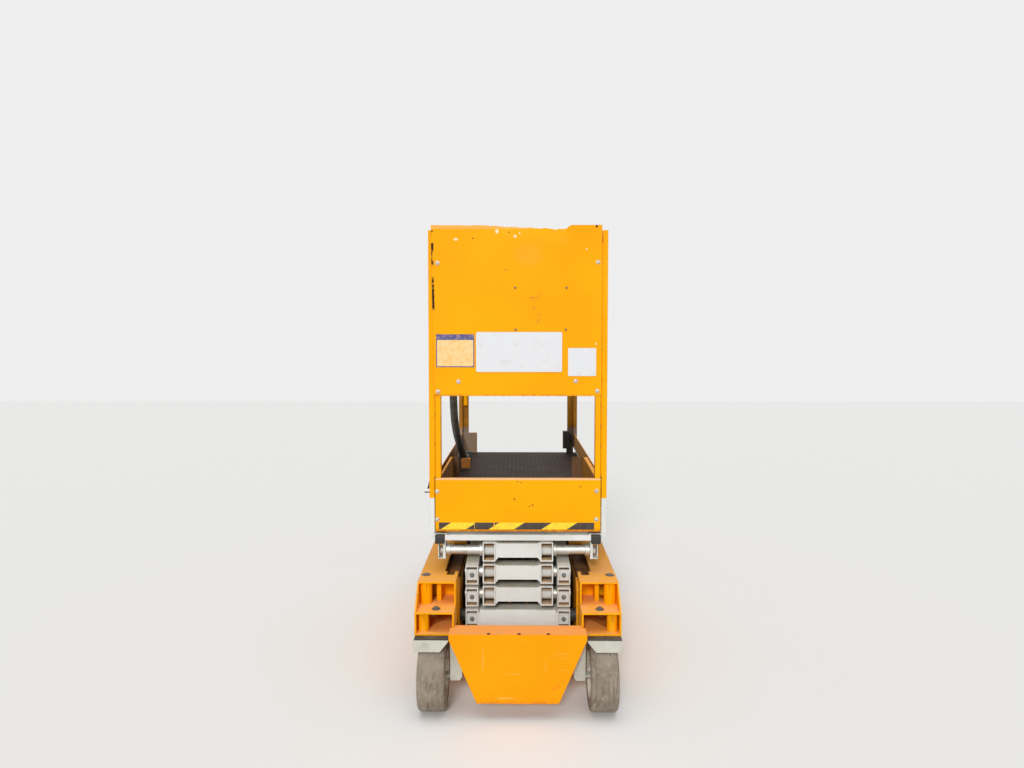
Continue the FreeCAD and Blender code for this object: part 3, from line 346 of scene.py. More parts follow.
def warm_grey(name, grime=0.5, inside=None):
    """Off-white grey enamel of the arms and deck frame, with sandy dust, small chips, painted shade on faces that face
    down, and painted shade and light inside the open tube ends.
    """
    paint = Finish(name)
    broad = paint.noise(5.0, 3, seed=2.2)
    fine = paint.noise(45.0, 5, 0.62, seed=5.2)
    paint.colour = paint.mix((229, 232, 228), (218, 220, 214), broad.step(0.35, 0.68))
    lit = paint.up.step(0.5, 0.9)
    paint.over((214, 204, 184), lit * (0.35 + 0.5 * broad.step(0.4, 0.6)))
    # Painted shade: faces that face down are darker and browner.
    under = paint.up.step(-0.4, -0.8)
    paint.over((176, 158, 132), under * 0.5)
    stain = paint.noise(14.0, 5, 0.66, along=(1.0, 1.0, 0.25), seed=8.0).step(0.56, 0.78)
    paint.over((190, 156, 120), stain * grime * 0.7)
    chips = paint.noise(110.0, 2, 0.5, seed=3.0).step(0.72, 0.745) * paint.noise(9.0, 2, seed=1.0).step(0.48, 0.6)
    paint.over(RUST, chips * 0.8)
    edge = paint.edges(0.003) * fine.step(0.5, 0.6)
    paint.over((150, 128, 106), edge * 0.6)
    if inside:
        within = inside_tubes(paint, *inside)
        # Sandy dirt, painted shade and painted light: dark brown inside the open tube ends, peach on what faces up
        # there.
        sand_shade_and_light = paint.mix((132, 110, 90), (226, 186, 138), lit)
        paint.over(sand_shade_and_light, within * (0.7 + 0.3 * fine.step(0.35, 0.6)))
    rough = 0.45 + 0.25 * fine + 0.2 * lit
    height = fine * 0.4 + broad * 0.6 - chips * 0.7
    return paint.done(rough, height=height, depth=0.0008, corner=0.0025, gloss=0.35)


def cap_grey(name):
    """Greenish grey enamel of the steering caps, sandy where it faces up, with rubbed edges."""
    paint = Finish(name)
    broad = paint.noise(7.0, 3, seed=3.2)
    fine = paint.noise(50.0, 5, 0.62, seed=6.2)
    paint.colour = paint.mix((208, 208, 194), (190, 190, 176), broad.step(0.35, 0.68))
    paint.over((206, 200, 182), paint.up.step(0.5, 0.9) * (0.4 + 0.5 * broad.step(0.4, 0.6)))
    stain = paint.noise(18.0, 5, 0.66, seed=9.0).step(0.54, 0.74)
    paint.over((150, 136, 114), stain * 0.5)
    edge = paint.edges(0.003) * fine.step(0.48, 0.6)
    paint.over((128, 112, 94), edge * 0.6)
    return paint.done(0.5 + 0.25 * fine, height=fine * 0.4 + broad * 0.6, depth=0.0008, corner=0.0025)


def caked_shaded_orange(name):
    """Orange enamel that is brown with caked dirt and painted shade on the faces inside the trough."""
    paint = Finish(name)
    broad = paint.noise(6.0, 4, seed=2.7)
    fine = paint.noise(40.0, 5, 0.6, seed=4.4)
    towards_middle = (paint.aside * paint.x.math("SIGN")).step(0.1, -0.5)
    # The sheet under the deck openings, coloured for painted shade.
    sheet_in_shade = (paint.z < 0.434) * (paint.z > 0.43)
    floor = paint.up.step(0.5, 0.9) * abs(paint.x).step(0.234, 0.228).most(sheet_in_shade)
    paint.colour = paint.mix((250, 172, 8), (236, 150, 60), paint.up.step(0.5, 0.9) * fine.step(0.35, 0.6))
    # Caked dirt and painted shade: faces towards the middle and the floor of the trough turn dark brown.
    soil_and_shade = (towards_middle * paint.y.step(-0.54, -0.44)).most(floor) * (0.72 + 0.28 * broad.step(0.35, 0.6))
    paint.over(paint.mix((92, 62, 38), (66, 46, 34), fine.step(0.4, 0.6)), soil_and_shade)
    edge = paint.edges(0.0035) * fine.step(0.5, 0.62)
    paint.over((140, 84, 52), edge * 0.8)
    return paint.done(0.5 + 0.3 * soil_and_shade, height=broad + 0.4 * fine, depth=0.0008, corner=0.002)


def two_tone(name, below, above, noise, steps, rough, share=1.0, metal=None, chips=None, depth=0.0003, corner=0.0,
             coat=0.0):
    """One noise mixes two colours. Rough and metal are a level and what the noise adds; chips, a share and a seed."""
    paint = Finish(name)
    dirt = height = paint.noise(*noise)
    paint.colour = paint.mix(below, above, dirt.step(*steps) * share)
    if chips:
        spots = paint.noise(90.0, 2, seed=chips[1]).step(0.7, 0.73)
        paint.over(RUST, spots * chips[0])
        height = dirt - spots
    return paint.done(rough[0] + rough[1] * dirt, metal=metal[0] + metal[1] * dirt if metal else 0.0, height=height,
                      depth=depth, corner=corner, coat=coat)


def plain_gloss(name, colour, rough=0.35, grain=120.0):
    """A small moulded or painted piece, its colour a little uneven, with a fine grain."""
    colour = linear(*colour)
    dull = tuple(part * 0.72 for part in colour[:3]) + (1.0,)
    return two_tone(name, colour, dull, (grain, 3, 0.5, 2.0), (0.4, 0.75), (rough, 0.15), depth=0.0002, corner=0.0008)


def bright_zinc(name):
    """Zinc-plated steel with turned rings, yellowish stain and small rust freckles."""
    metal = Finish(name)
    turned = metal.noise(420.0, 2, 0.5, along=(1.0, 0.03, 0.03), seed=1.0)
    stain = metal.noise(22.0, 4, 0.6, seed=2.0)
    metal.colour = metal.mix((214, 216, 214), (190, 186, 170), stain.step(0.4, 0.7))
    freckles = metal.noise(130.0, 3, 0.6, seed=4.0).step(0.66, 0.72)
    metal.over((134, 100, 70), freckles * 0.4)
    return metal.done(0.3 + 0.2 * stain + 0.08 * turned, metal=0.88 - 0.5 * freckles, height=turned, depth=0.0002,
                      corner=0.001)


def bolt_head(name):
    """Zinc bolt heads with patches of rust."""
    metal = Finish(name)
    stain = metal.noise(160.0, 3, 0.6, seed=3.3)
    metal.colour = metal.mix((206, 200, 190), (150, 112, 84), stain.step(0.5, 0.7))
    return metal.done(0.34 + 0.3 * stain, metal=0.75 - 0.5 * stain.step(0.5, 0.7), height=stain, depth=0.0002)


def grey_tyre(name):
    """Non-marking solid tyre, grey with road dust, with fine cracks that run round it."""
    rubber = Finish(name)
    dust = rubber.noise(16.0, 5, 0.62, seed=1.1)
    rubber.colour = rubber.mix((150, 138, 122), (128, 116, 102), dust.step(0.35, 0.65))
    rubber.over((172, 160, 142), rubber.noise(60.0, 4, 0.6, seed=2.1).step(0.5, 0.7) * 0.5)
    line = rubber.value("ShaderNodeTexVoronoi", {"feature": "DISTANCE_TO_EDGE"},
                        {"Vector": rubber.stretched((1.0, 0.11, 0.11)), "Scale": 46.0}, "Distance")
    wander = rubber.noise(9.0, 3, 0.5, seed=5.0)
    crack = (line + 0.03 * wander).step(0.045, 0.02) * rubber.noise(12.0, 3, seed=7.0).step(0.44, 0.55)
    rubber.over((84, 74, 64), crack * 0.5)
    nicks = rubber.noise(55.0, 3, 0.6, seed=8.0).step(0.68, 0.72)
    rubber.over((104, 92, 80), nicks * 0.6)
    return rubber.done(0.86 + 0.08 * dust, height=0.5 * dust - crack * 0.9 - nicks * 0.5, depth=0.0018)


def black_plastic(name):
    """Black moulded plastic and hose: matt, with brown dust on what faces up."""
    plastic = Finish(name)
    grain = plastic.noise(300.0, 2, 0.5, seed=1.0)
    dust = plastic.noise(20.0, 5, 0.6, seed=2.0)
    lit = plastic.up.step(0.1, 0.9)
    plastic.colour = plastic.mix((44, 42, 40), (112, 100, 86), lit * dust.step(0.35, 0.7) * 0.7 + 0.08 * dust)
    return plastic.done(0.5 + 0.25 * dust, height=grain * 0.5 + dust * 0.2, depth=0.0003, corner=0.002)


def worn_deck(name):
    """Dark brown tread plate: raised bars in pairs, worn bare on their tops, dust between them."""
    plate = Finish(name)
    pitch = 0.03
    turned = plate.node("ShaderNodeMapping", {}, {"Vector": plate.place, "Rotation": (0, 0, math.radians(45)),
                                                  "Scale": (1 / pitch,) * 3}).outputs[0]
    across, along, _ = plate.parts(turned)
    cell = (across.math("FLOOR") + along.math("FLOOR")).math("MODULO", 2.0).math("ABSOLUTE")
    u, v = across.math("FRACT") - 0.5, along.math("FRACT") - 0.5
    flat_bar = ((u / 0.42) ** 2 + (v / 0.13) ** 2).step(1.1, 0.75)
    tall_bar = ((u / 0.13) ** 2 + (v / 0.42) ** 2).step(1.1, 0.75)
    bar = flat_bar * (cell < 0.5) + tall_bar * (cell > 0.5)
    dust = plate.noise(9.0, 5, 0.62, seed=3.0)
    plate.colour = plate.mix((62, 50, 42), (50, 40, 34), dust.step(0.35, 0.65))
    plate.over((104, 90, 80), bar * dust.step(0.42, 0.6) * 0.45)
    plate.over((128, 106, 86), dust.step(0.64, 0.8) * 0.4)
    return plate.done(0.6 + 0.2 * dust - 0.15 * bar, metal=bar * 0.25, height=bar + dust * 0.15, depth=0.0016,
                      gloss=0.12)


MADE = {
    "orange_paint": faded_orange("faded_orange_enamel"),
    "grey_paint": warm_grey("warm_grey_enamel"),
    "zinc": bright_zinc("bright_zinc"),
    "steel": two_tone("dull_steel", (122, 118, 112), (92, 78, 66), (30.0, 4, 0.6, 6.0), (0.4, 0.66), (0.42, 0.25),
                      metal=(0.8, -0.4), corner=0.001),
    "tyre": grey_tyre("dusty_grey_rubber"),
    "rim_paint": two_tone("chalky_rim_enamel", (224, 219, 206), (168, 150, 128), (24.0, 5, 0.65, 3.0), (0.46, 0.72),
                          (0.5, 0.25), chips=(0.7, 5.0), depth=0.0006, corner=0.0015),
    "black_plastic": black_plastic("black_moulding"),
    "black_steel": two_tone("black_enamel", (50, 47, 45), (104, 88, 72), (18.0, 5, 0.62, 6.0), (0.42, 0.75),
                            (0.45, 0.3), share=0.7, chips=(0.8, 4.0), depth=0.0006, corner=0.002),
    "floor": worn_deck("worn_tread_plate"),
}
BOLT = bolt_head("bolt_heads")
PANEL_TOP = faded_orange("end_panel_enamel", top_panel_scars, dirt=0.1, chip=0.25)
PANEL_LOW = faded_orange("low_panel_enamel", low_panel_scars, dirt=0.1, chip=0.25)
SKIRT = faded_orange("front_plate_enamel", skirt_scars, dirt=0.3, chip=0.4, green=165)
DOOR = faded_orange("door_enamel", door_marks, dirt=0.8, chip=0.7)
CAP_GREY = cap_grey("steering_cap_enamel")
CAKED_SHADED = caked_shaded_orange("caked_trough_enamel")
RAILS = faded_orange("rail_enamel", inner_shade_and_dirt, dirt=0.4, chip=0.5)
OUTER_ARMS = warm_grey("outer_arm_enamel", 0.35, (OUTER_ARM_X, ARM_RISE))
INNER_ARMS = warm_grey("inner_arm_enamel", 0.35, (INNER_ARM_X, -ARM_RISE))
SPECIAL = {"end_panel_top": PANEL_TOP, "end_panel_low": PANEL_LOW, "front_skirt": SKIRT,
           "knuckle_left": CAP_GREY, "knuckle_right": CAP_GREY, "front_beam": MADE["grey_paint"],
           "trough_floor": CAKED_SHADED, "trough_wall_left": CAKED_SHADED, "trough_wall_right": CAKED_SHADED,
           "door_left": DOOR, "door_right": DOOR, "guard_rail_left": RAILS, "guard_rail_right": RAILS,
           "extension_rails": RAILS}
for level in (1, 2, 3):
    SPECIAL.update({f"outer_arms_{level}": OUTER_ARMS, f"inner_arms_{level}": INNER_ARMS})

for node, thing in NODES.items():
    thing.data.materials.clear()
    thing.data.materials.append(SPECIAL.get(node, MADE[SLOT_OF[node]]))


# ---- mesh helpers

WELD = 0.00002


def linked(name, data):
    """A new object in the scene, at the origin."""
    made = bpy.data.objects.new(name, data)
    bpy.context.scene.collection.objects.link(made)
    return made


def riding(name, data, body, smooth):
    """Shows a mesh as a piece that rides on a body; edges sharper than smooth, in degrees, stay sharp."""
    made = linked(name, data)
    data.shade_smooth()
    data.set_sharp_from_angle(angle=math.radians(smooth))
    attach(made, body)
    return made


def piece(name, mesh, material, body, slot, smooth=40.0):
    """Makes a piece of a bmesh."""
    bmesh.ops.remove_doubles(mesh, verts=mesh.verts, dist=WELD)
    bmesh.ops.recalc_face_normals(mesh, faces=mesh.faces)
    data = bpy.data.meshes.new(name)
    mesh.to_mesh(data)
    mesh.free()
    data.materials.append(material)
    return riding(name, data, body, smooth)


def modified(holder, modifier):
    """The plain mesh that a modifier makes of an object, which is removed."""
    bpy.context.view_layer.update()
    mesh = bpy.data.meshes.new_from_object(holder.evaluated_get(bpy.context.evaluated_depsgraph_get()))
    holder.modifiers.remove(modifier)
    bpy.data.objects.remove(holder)
    return mesh


def slab(mesh, low, high, round_by=0.0, steps=2):
    """A block between two corners, its edges rounded."""
    low, high = Vector(low), Vector(high)
    made = bmesh.ops.create_cube(mesh, size=1.0)["verts"]
    bmesh.ops.scale(mesh, vec=high - low, verts=made)
    bmesh.ops.translate(mesh, vec=(low + high) / 2, verts=made)
    if round_by:
        edges = list({edge for vert in made for edge in vert.link_edges})
        bmesh.ops.bevel(mesh, geom=edges, offset=round_by, segments=steps, affect="EDGES", profile=0.5)
    return made


def block(name, corners, round_by, material, body, slot="orange_paint", steps=2):
    """A piece that is one block."""
    mesh = bmesh.new()
    slab(mesh, *corners, round_by, steps)
    return piece(name, mesh, material, body, slot)


def turned(mesh, profile, centre, steps):
    """A lathe shape about the X axis: pairs of distance along it and radius, closed at both ends."""
    turns = [2 * math.pi * step / steps for step in range(steps)]
    rings = [[mesh.verts.new(Vector(centre) + Vector((along, radius * math.sin(turn), -radius * math.cos(turn))))
              for turn in turns] for along, radius in profile]
    for ring, after in zip(rings, rings[1:]):
        for i in range(steps):
            mesh.faces.new((ring[i - 1], ring[i], after[i], after[i - 1]))
    for ring in (rings[0], rings[-1]):
        mesh.faces.new(ring)


def rounded_outline(x0, x1, z0, z1, radius, steps=5):
    """The corners of a rounded rectangle across X and Z."""
    points = []
    for cx, cz, start in ((x1 - radius, z1 - radius, 0), (x0 + radius, z1 - radius, 90),
                          (x0 + radius, z0 + radius, 180), (x1 - radius, z0 + radius, 270)):
        for step in range(steps + 1):
            turn = math.radians(start + 90 * step / steps)
            points.append((cx + radius * math.cos(turn), cz + radius * math.sin(turn)))
    return points


def plate_xz(mesh, outline, y0, y1):
    """A flat plate with an outline across X and Z, from y0 to y1."""
    near = [mesh.verts.new((x, y0, z)) for x, z in outline]
    far = [mesh.verts.new((x, y1, z)) for x, z in outline]
    mesh.faces.new(near)
    mesh.faces.new(far[::-1])
    for i in range(len(outline)):
        j = (i + 1) % len(outline)
        mesh.faces.new((near[i], far[i], far[j], near[j]))


# ---- fasteners, by geometry nodes

class GeometryTree(Tree):
    """A geometry tree under construction, given the kinds of its inputs by their names."""

    def __init__(self, name, inputs):
        super().__init__(bpy.data.node_groups.new(name, "GeometryNodeTree"))
        for label, kind in inputs.items():
            self.tree.interface.new_socket(label, in_out="INPUT", socket_type="NodeSocket" + kind)
        self.tree.interface.new_socket("Made", in_out="OUTPUT", socket_type="NodeSocketGeometry")
        outputs = self.node("NodeGroupInput").outputs
        self.given = {label: Value(self, outputs[label]) for label in inputs}

    def finished(self, shape):
        """Closes the tree: real geometry with the material that was given."""
        real = self.value("GeometryNodeRealizeInstances", {}, {"Geometry": shape})
        painted = self.value("GeometryNodeSetMaterial", {}, {"Geometry": real, "Material": self.given["Finish"]})
        self.node("NodeGroupOutput", {}, {0: painted})
        return self.tree


def fastener_tree():
    """Puts a washer and a head with a low dome on each point, along the point's own direction."""
    tree = GeometryTree("fasteners", {
        "Points": "Geometry", "Washer radius": "Float", "Washer height": "Float", "Head radius": "Float",
        "Head height": "Float", "Dome height": "Float", "Head sides": "Int", "Finish": "Material"})
    points, washer_radius, washer_tall, head_radius, head_tall, dome_tall, sides, _ = tree.given.values()

    def cylinder(count, radius, height):
        values = {"Vertices": count, "Radius": radius, "Depth": height}
        return tree.value("GeometryNodeMeshCylinder", {}, values, "Mesh")

    def lifted(shape, height, scale=(1.0, 1.0, 1.0)):
        place = tree.value("ShaderNodeCombineXYZ", {}, {"Z": height})
        return tree.value("GeometryNodeTransform", {}, {"Geometry": shape, "Translation": place, "Scale": scale})

    reach = head_radius * 0.93
    squash = tree.value("ShaderNodeCombineXYZ", {}, {"X": reach, "Y": reach, "Z": dome_tall})
    dome = tree.value("GeometryNodeMeshUVSphere", {}, {"Segments": 16, "Rings": 8, "Radius": 1.0}, "Mesh")
    joined = tree.node("GeometryNodeJoinGeometry")
    for part in (lifted(cylinder(20, washer_radius, washer_tall), washer_tall * 0.5),
                 lifted(cylinder(sides, head_radius, head_tall), washer_tall + head_tall * 0.5),
                 lifted(dome, washer_tall + head_tall, squash)):
        tree.tree.links.new(part.socket, joined.inputs[0])
    facing = tree.value("GeometryNodeInputNamedAttribute", {"data_type": "FLOAT_VECTOR"}, {"Name": "facing"})
    aim = tree.value("FunctionNodeAlignRotationToVector", {"axis": "Z"}, {"Vector": facing})
    return tree.finished(tree.value("GeometryNodeInstanceOnPoints", {}, {
        "Points": points, "Instance": joined.outputs[0], "Rotation": aim}))


FASTENERS = fastener_tree()


def grown(holder, tree, inputs):
    """The plain mesh that a geometry tree makes of an object, which is removed."""
    modifier = holder.modifiers.new("tree", "NODES")
    modifier.node_group = tree
    sockets = {item.name: item.identifier for item in tree.interface.items_tree if item.in_out == "INPUT"}
    for label, value in inputs.items():
        modifier[sockets[label]] = value
    return modified(holder, modifier)


def bolts(name, places, direction, body, washer=0.01, head=0.0065, tall=0.004, dome=0.0022, sides=6, finish=None):
    """Fasteners at some places, all along one direction, as one piece."""
    data = bpy.data.meshes.new(name)
    data.from_pydata(places, [], [])
    for spot in data.attributes.new("facing", "FLOAT_VECTOR", "POINT").data:
        spot.vector = direction
    mesh = grown(linked(name + "_points", data), FASTENERS, {
        "Washer radius": washer, "Washer height": 0.0016, "Head radius": head, "Head height": tall, "Dome height": dome,
        "Head sides": sides, "Finish": finish or BOLT})
    mesh.name = name
    if "facing" in mesh.attributes:
        mesh.attributes.remove(mesh.attributes["facing"])
    return riding(name, mesh, body, 35.0)


TOWARDS, UP, BACK = (0, -1, 0), (0, 0, 1), (0, 1, 0)
FRONT_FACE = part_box("end_panel_top")[0].y


def on_panel(places):
    """Places across X and Z as points just inside the end panels' front face."""
    return [(x, FRONT_FACE + 0.0002, z) for x, z in places]


bolts("end_panel_bolts",
      on_panel([(-0.309, 1.6694), (0.306, 1.6725), (-0.309, 1.1765), (0.3055, 1.179), (-0.2297, 1.2146),
                (0.2224, 1.2173), (-0.314, 0.7868), (0.3052, 0.7895), (-0.314, 0.6772), (0.3052, 0.6783)]),
      TOWARDS, "extension", washer=0.0085, head=0.0068, tall=0.0012, dome=0.0042, sides=20)
bolts("end_panel_screws",
      on_panel([(-0.0108, 1.5748), (0.1855, 1.5748), (-0.0089, 1.4149), (0.1836, 1.4149)]),
      TOWARDS, "extension", washer=0.004, head=0.0032, tall=0.001, dome=0.0018, sides=16, finish=MADE["steel"])


# ---- signs and stripe

def blank_sign(name, outline, thick, material):
    """A bare plate or sticker on the end panel."""
    mesh = bmesh.new()
    plate_xz(mesh, outline, FRONT_FACE - thick, FRONT_FACE + 0.0003)
    piece(name, mesh, material, "extension", "orange_paint")


def white_sign(name, seed):
    """Plain white sticker, slightly soiled."""
    return two_tone(name, (228, 229, 231), (204, 200, 192), (30.0, 5, 0.6, seed), (0.52, 0.8), (0.38, 0.2), share=0.6,
                    coat=0.2)


FORM = (-0.3155, -0.1685, 1.2705, 1.397)


def bordered_sign(name):
    """Cream sticker with a blue border and a blue band across its head, all blank."""
    paper = Finish(name)
    inside = paper.frame_of(*FORM)
    head = paper.z.step(1.3745, 1.3755)
    blue = inside.step(0.0042, 0.0034).most(head)
    wear = paper.noise(70.0, 4, 0.6, seed=2.0)
    field = paper.mix((250, 214, 150), (246, 196, 116), wear.step(0.4, 0.7))
    ink = paper.mix((66, 72, 132), (104, 104, 150), wear.step(0.45, 0.7))
    paper.colour = paper.mix(field, ink, blue * (0.75 + 0.25 * wear.step(0.7, 0.4)))
    return paper.done(0.45 + 0.15 * wear, height=wear, depth=0.0002)


def stripe_tape(name):
    """Black and yellow slanted stripes, the black faded, the yellow scuffed."""
    tape = Finish(name)
    own_phase = 0.0535 + 0.018 * (tape.x < -0.169)
    slant = (tape.x - 1.55 * tape.z - own_phase) / 0.205 + 10.4
    wear = tape.noise(60.0, 4, 0.65, seed=3.0)
    split = abs(slant.math("FRACT") - 0.5).step(0.262, 0.256)
    yellow = tape.mix((255, 224, 44), (240, 196, 60), wear.step(0.45, 0.7))
    dark = tape.mix((58, 50, 46), (86, 72, 60), wear.step(0.42, 0.7))
    tape.colour = tape.mix(yellow, dark, split)
    gone = (tape.noise(45.0, 4, 0.6, along=(1.0, 1.0, 0.4), seed=6.0).step(0.7, 0.73)
            + tape.blot(-0.169, 0.65, 0.0014, 0.014) + tape.blot(-0.093, 0.652, 0.0026, 0.014)).least(1.0)
    tape.over((250, 176, 40), gone * 0.85)
    return tape.done(0.5 + 0.2 * wear, height=wear - gone, depth=0.0003)


blank_sign("form_sticker", rounded_outline(*FORM, 0.002), 0.0006, bordered_sign("form_sticker_print"))
blank_sign("centre_plate", rounded_outline(-0.1612, 0.1697, 1.252, 1.4057, 0.007), 0.0012,
           white_sign("centre_plate_white", 1.0))
blank_sign("notice_sticker", rounded_outline(0.1928, 0.3006, 1.2366, 1.3443, 0.002), 0.0006,
           white_sign("notice_white", 5.0))
blank_sign("stripe_tape", rounded_outline(-0.308, 0.2967, 0.6375, 0.6645, 0.001, 2), 0.0005,
           stripe_tape("stripe_tape_print"))


# ---- the bent top panel

def bent_top_panel():
    """The end panel's sheet: its flap above the top cross bar is knocked back, and its face is a little wavy."""
    low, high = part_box("end_panel_top")
    bar_top = 1.766
    columns, rows, thick = 76, 30, 0.003

    def knocked(x):
        """How far the flap is bent, by its place across: slowly more, then back at a tear."""
        grown = min(max((x + 0.13) / 0.3, 0.0), 1.0) ** 0.8
        held = min(max((0.198 - x) / 0.012, 0.0), 1.0)
        ripple = 0.12 * math.sin(95 * x + 0.6) + 0.08 * math.sin(230 * x)
        return max(grown * held * (0.9 + ripple), 0.0)

    def front(x, z):
        share = max(z - bar_top, 0.0) / (high.z - bar_top)
        bend = knocked(x)
        wave = 0.0009 * math.sin(7.0 * x + 1.0) * math.sin(9.0 * (z - 1.2)) + 0.0005 * math.sin(23 * x - 11 * z)
        inside = min(x - low.x, high.x - x, z - low.z) / 0.05
        back = 0.024 * bend * share ** 1.4 + (0.0011 + wave) * min(max(inside, 0.0), 1.0)
        edge = 0.0012 * math.sin(41 * x) * math.sin(17 * x + 2) if share > 0.99 and x < 0.2 else 0.0
        sprung = ((high.x - x) / (high.x - low.x)) ** 6 * (0.003 + 0.009 * (z - low.z) / (high.z - low.z))
        return Vector((x - sprung, low.y + max(back, 0.0), z - 0.0135 * bend * share - abs(edge)))

    mesh = bmesh.new()
    sheets = []
    for depth in (0.0, thick):
        grid = []
        for row in range(rows + 1):
            along = row / rows
            z = low.z + (high.z - low.z) * (along * 0.82 if along < 0.6 else 0.492 + (along - 0.6) * 1.27)
            grid.append([mesh.verts.new(front(low.x + (high.x - low.x) * column / columns, z)
                                        + Vector((0.0, depth, 0.0))) for column in range(columns + 1)])
        sheets.append(grid)
    for grid in sheets:
        for below, above in zip(grid, grid[1:]):
            for i in range(columns):
                mesh.faces.new((below[i], below[i + 1], above[i + 1], above[i]))
    near, far = sheets
    for line, other in ((near[0], far[0]), (near[-1], far[-1]), ([row[0] for row in near], [row[0] for row in far]),
                        ([row[-1] for row in near], [row[-1] for row in far])):
        for i in range(len(line) - 1):
            mesh.faces.new((line[i], line[i + 1], other[i + 1], other[i]))
    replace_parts(piece("bent_end_panel", mesh, PANEL_TOP, "extension", "orange_paint"), "end_panel_top")


bent_top_panel()


# ---- wheels

def ring_of(mesh, profile, centre, outward, steps=80):
    """A closed ring about the X axis; its profile is a loop of distance towards the outside and radius."""
    rings = []
    for turn in (2 * math.pi * step / steps for step in range(steps)):
        rings.append([mesh.verts.new((centre[0] + outward * along, centre[1] + radius * math.cos(turn),
                                      centre[2] + radius * math.sin(turn))) for along, radius in profile])
    for near, far in zip(rings, rings[1:] + rings[:1]):
        for i in range(len(profile)):
            j = (i + 1) % len(profile)
            mesh.faces.new((near[i], near[j], far[j], far[i]))


HALF_TYRE = [(0.0503, 0.089), (0.0509, 0.095), (0.0509, 0.101), (0.0498, 0.1022), (0.0509, 0.1034),
             (0.0509, 0.113), (0.05, 0.1198), (0.0473, 0.124), (0.0425, 0.1263), (0.034, 0.127)]
TYRE_LOOP = HALF_TYRE + [(0.012, 0.127), (-0.012, 0.127)] + [(-along, radius) for along, radius in HALF_TYRE[::-1]]
RIM_LOOP = [(0.0488, 0.0885), (0.0488, 0.0855), (0.047, 0.0838), (0.044, 0.083), (0.03, 0.08), (0.0282, 0.0776),
            (0.0272, 0.056), (0.029, 0.05), (0.034, 0.034), (0.035, 0.031), (0.035, 0.02), (0.034, 0.0124),
            (-0.034, 0.0124), (-0.035, 0.02), (-0.035, 0.031), (-0.033, 0.034), (-0.02, 0.046),
            (-0.019, 0.076), (-0.03, 0.0806), (-0.044, 0.083), (-0.047, 0.0838), (-0.0488, 0.0855),
            (-0.0488, 0.0885)]

for end in ("front", "rear"):
    for outward, side in SIDES:
        corner = f"{end}_{side}"
        wheel, sideways = "wheel_" + corner, (outward, 0, 0)
        lowest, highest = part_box("tyre_" + corner)
        centre = (lowest + highest) / 2
        mesh = bmesh.new()
        ring_of(mesh, TYRE_LOOP, centre, outward, 96)
        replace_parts(piece(f"tyre_{corner}_rubber", mesh, MADE["tyre"], wheel, "tyre", smooth=50), "tyre_" + corner)
        mesh = bmesh.new()
        ring_of(mesh, RIM_LOOP, centre, outward)
        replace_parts(piece(f"rim_{corner}_dish", mesh, MADE["rim_paint"], wheel, "rim_paint", smooth=28),
                    "rim_" + corner)
        studs = [centre + Vector((outward * 0.0275, 0.0425 * math.cos(turn), 0.0425 * math.sin(turn)))
                 for turn in (math.radians(18 + 72 * i) for i in range(5))]
        bolts(f"wheel_nuts_{corner}", studs, sideways, wheel, washer=0.0085, head=0.007, tall=0.0065, dome=0.002)
        holder = "knuckle_" + side if end == "front" else "chassis"
        bolts(f"axle_nut_{corner}", [centre + Vector((outward * 0.0356, 0, 0))], sideways, holder, washer=0.0165,
              head=0.015, tall=0.0075)


# ---- scissor ends, steering and chassis fittings

def shaft_half(outward):
    """The turned profile of half of the top shaft: bare pin, sleeve with two collars, and end."""
    half = [(0.0, 0.0149), (0.138, 0.0149), (0.138, 0.0232), (0.1392, 0.0244), (0.1498, 0.0244), (0.151, 0.0232),
            (0.151, 0.0182), (0.264, 0.0182), (0.264, 0.0232), (0.2652, 0.0244), (0.27, 0.0244), (0.2706, 0.0236),
            (0.2712, 0.0236), (0.2718, 0.0244), (0.2808, 0.0244), (0.282, 0.0232), (0.282, 0.0149), (0.304, 0.0149),
            (0.305, 0.0139)]
    return [(outward * along, radius) for along, radius in half]


pin_low, pin_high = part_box("top_shaft")
PIN_PLACE = (0.0, (pin_low.y + pin_high.y) / 2, (pin_low.z + pin_high.z) / 2)
mesh = bmesh.new()
turned(mesh, shaft_half(-1)[:0:-1] + shaft_half(1), PIN_PLACE, 56)
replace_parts(piece("top_shaft_turned", mesh, MADE["zinc"], "platform", "zinc"), "top_shaft")
mesh = bmesh.new()
for outward, _ in SIDES:
    turned(mesh, [(outward * along, radius) for along, radius in
                  ((0.2945, 0.016), (0.2955, 0.0172), (0.3035, 0.0172), (0.3042, 0.016))], PIN_PLACE, 6)
piece("top_shaft_nuts", mesh, BOLT, "platform", "steel", smooth=20)

BLUED = plain_gloss("blued_bolt", (118, 122, 122), 0.35)
FOLD = math.atan2(LEVEL_STEP, ARM_LENGTH)
AWAY = Vector((0.0, -math.cos(FOLD), -math.sin(FOLD)))
for level in (1, 2, 3):
    pivot_z = PIN_PLACE[2] - LEVEL_STEP * (4 - level)
    spots = [Vector((x, PIN_PLACE[1], pivot_z)) + AWAY * 0.0402 for x in (-OUTER_ARM_X, OUTER_ARM_X)]
    bolts(f"arm_cap_bolts_{level}", spots, AWAY, f"outer_level_{level}", washer=0.009, head=0.008, tall=0.0035,
          dome=0.0034, sides=20, finish=BLUED)

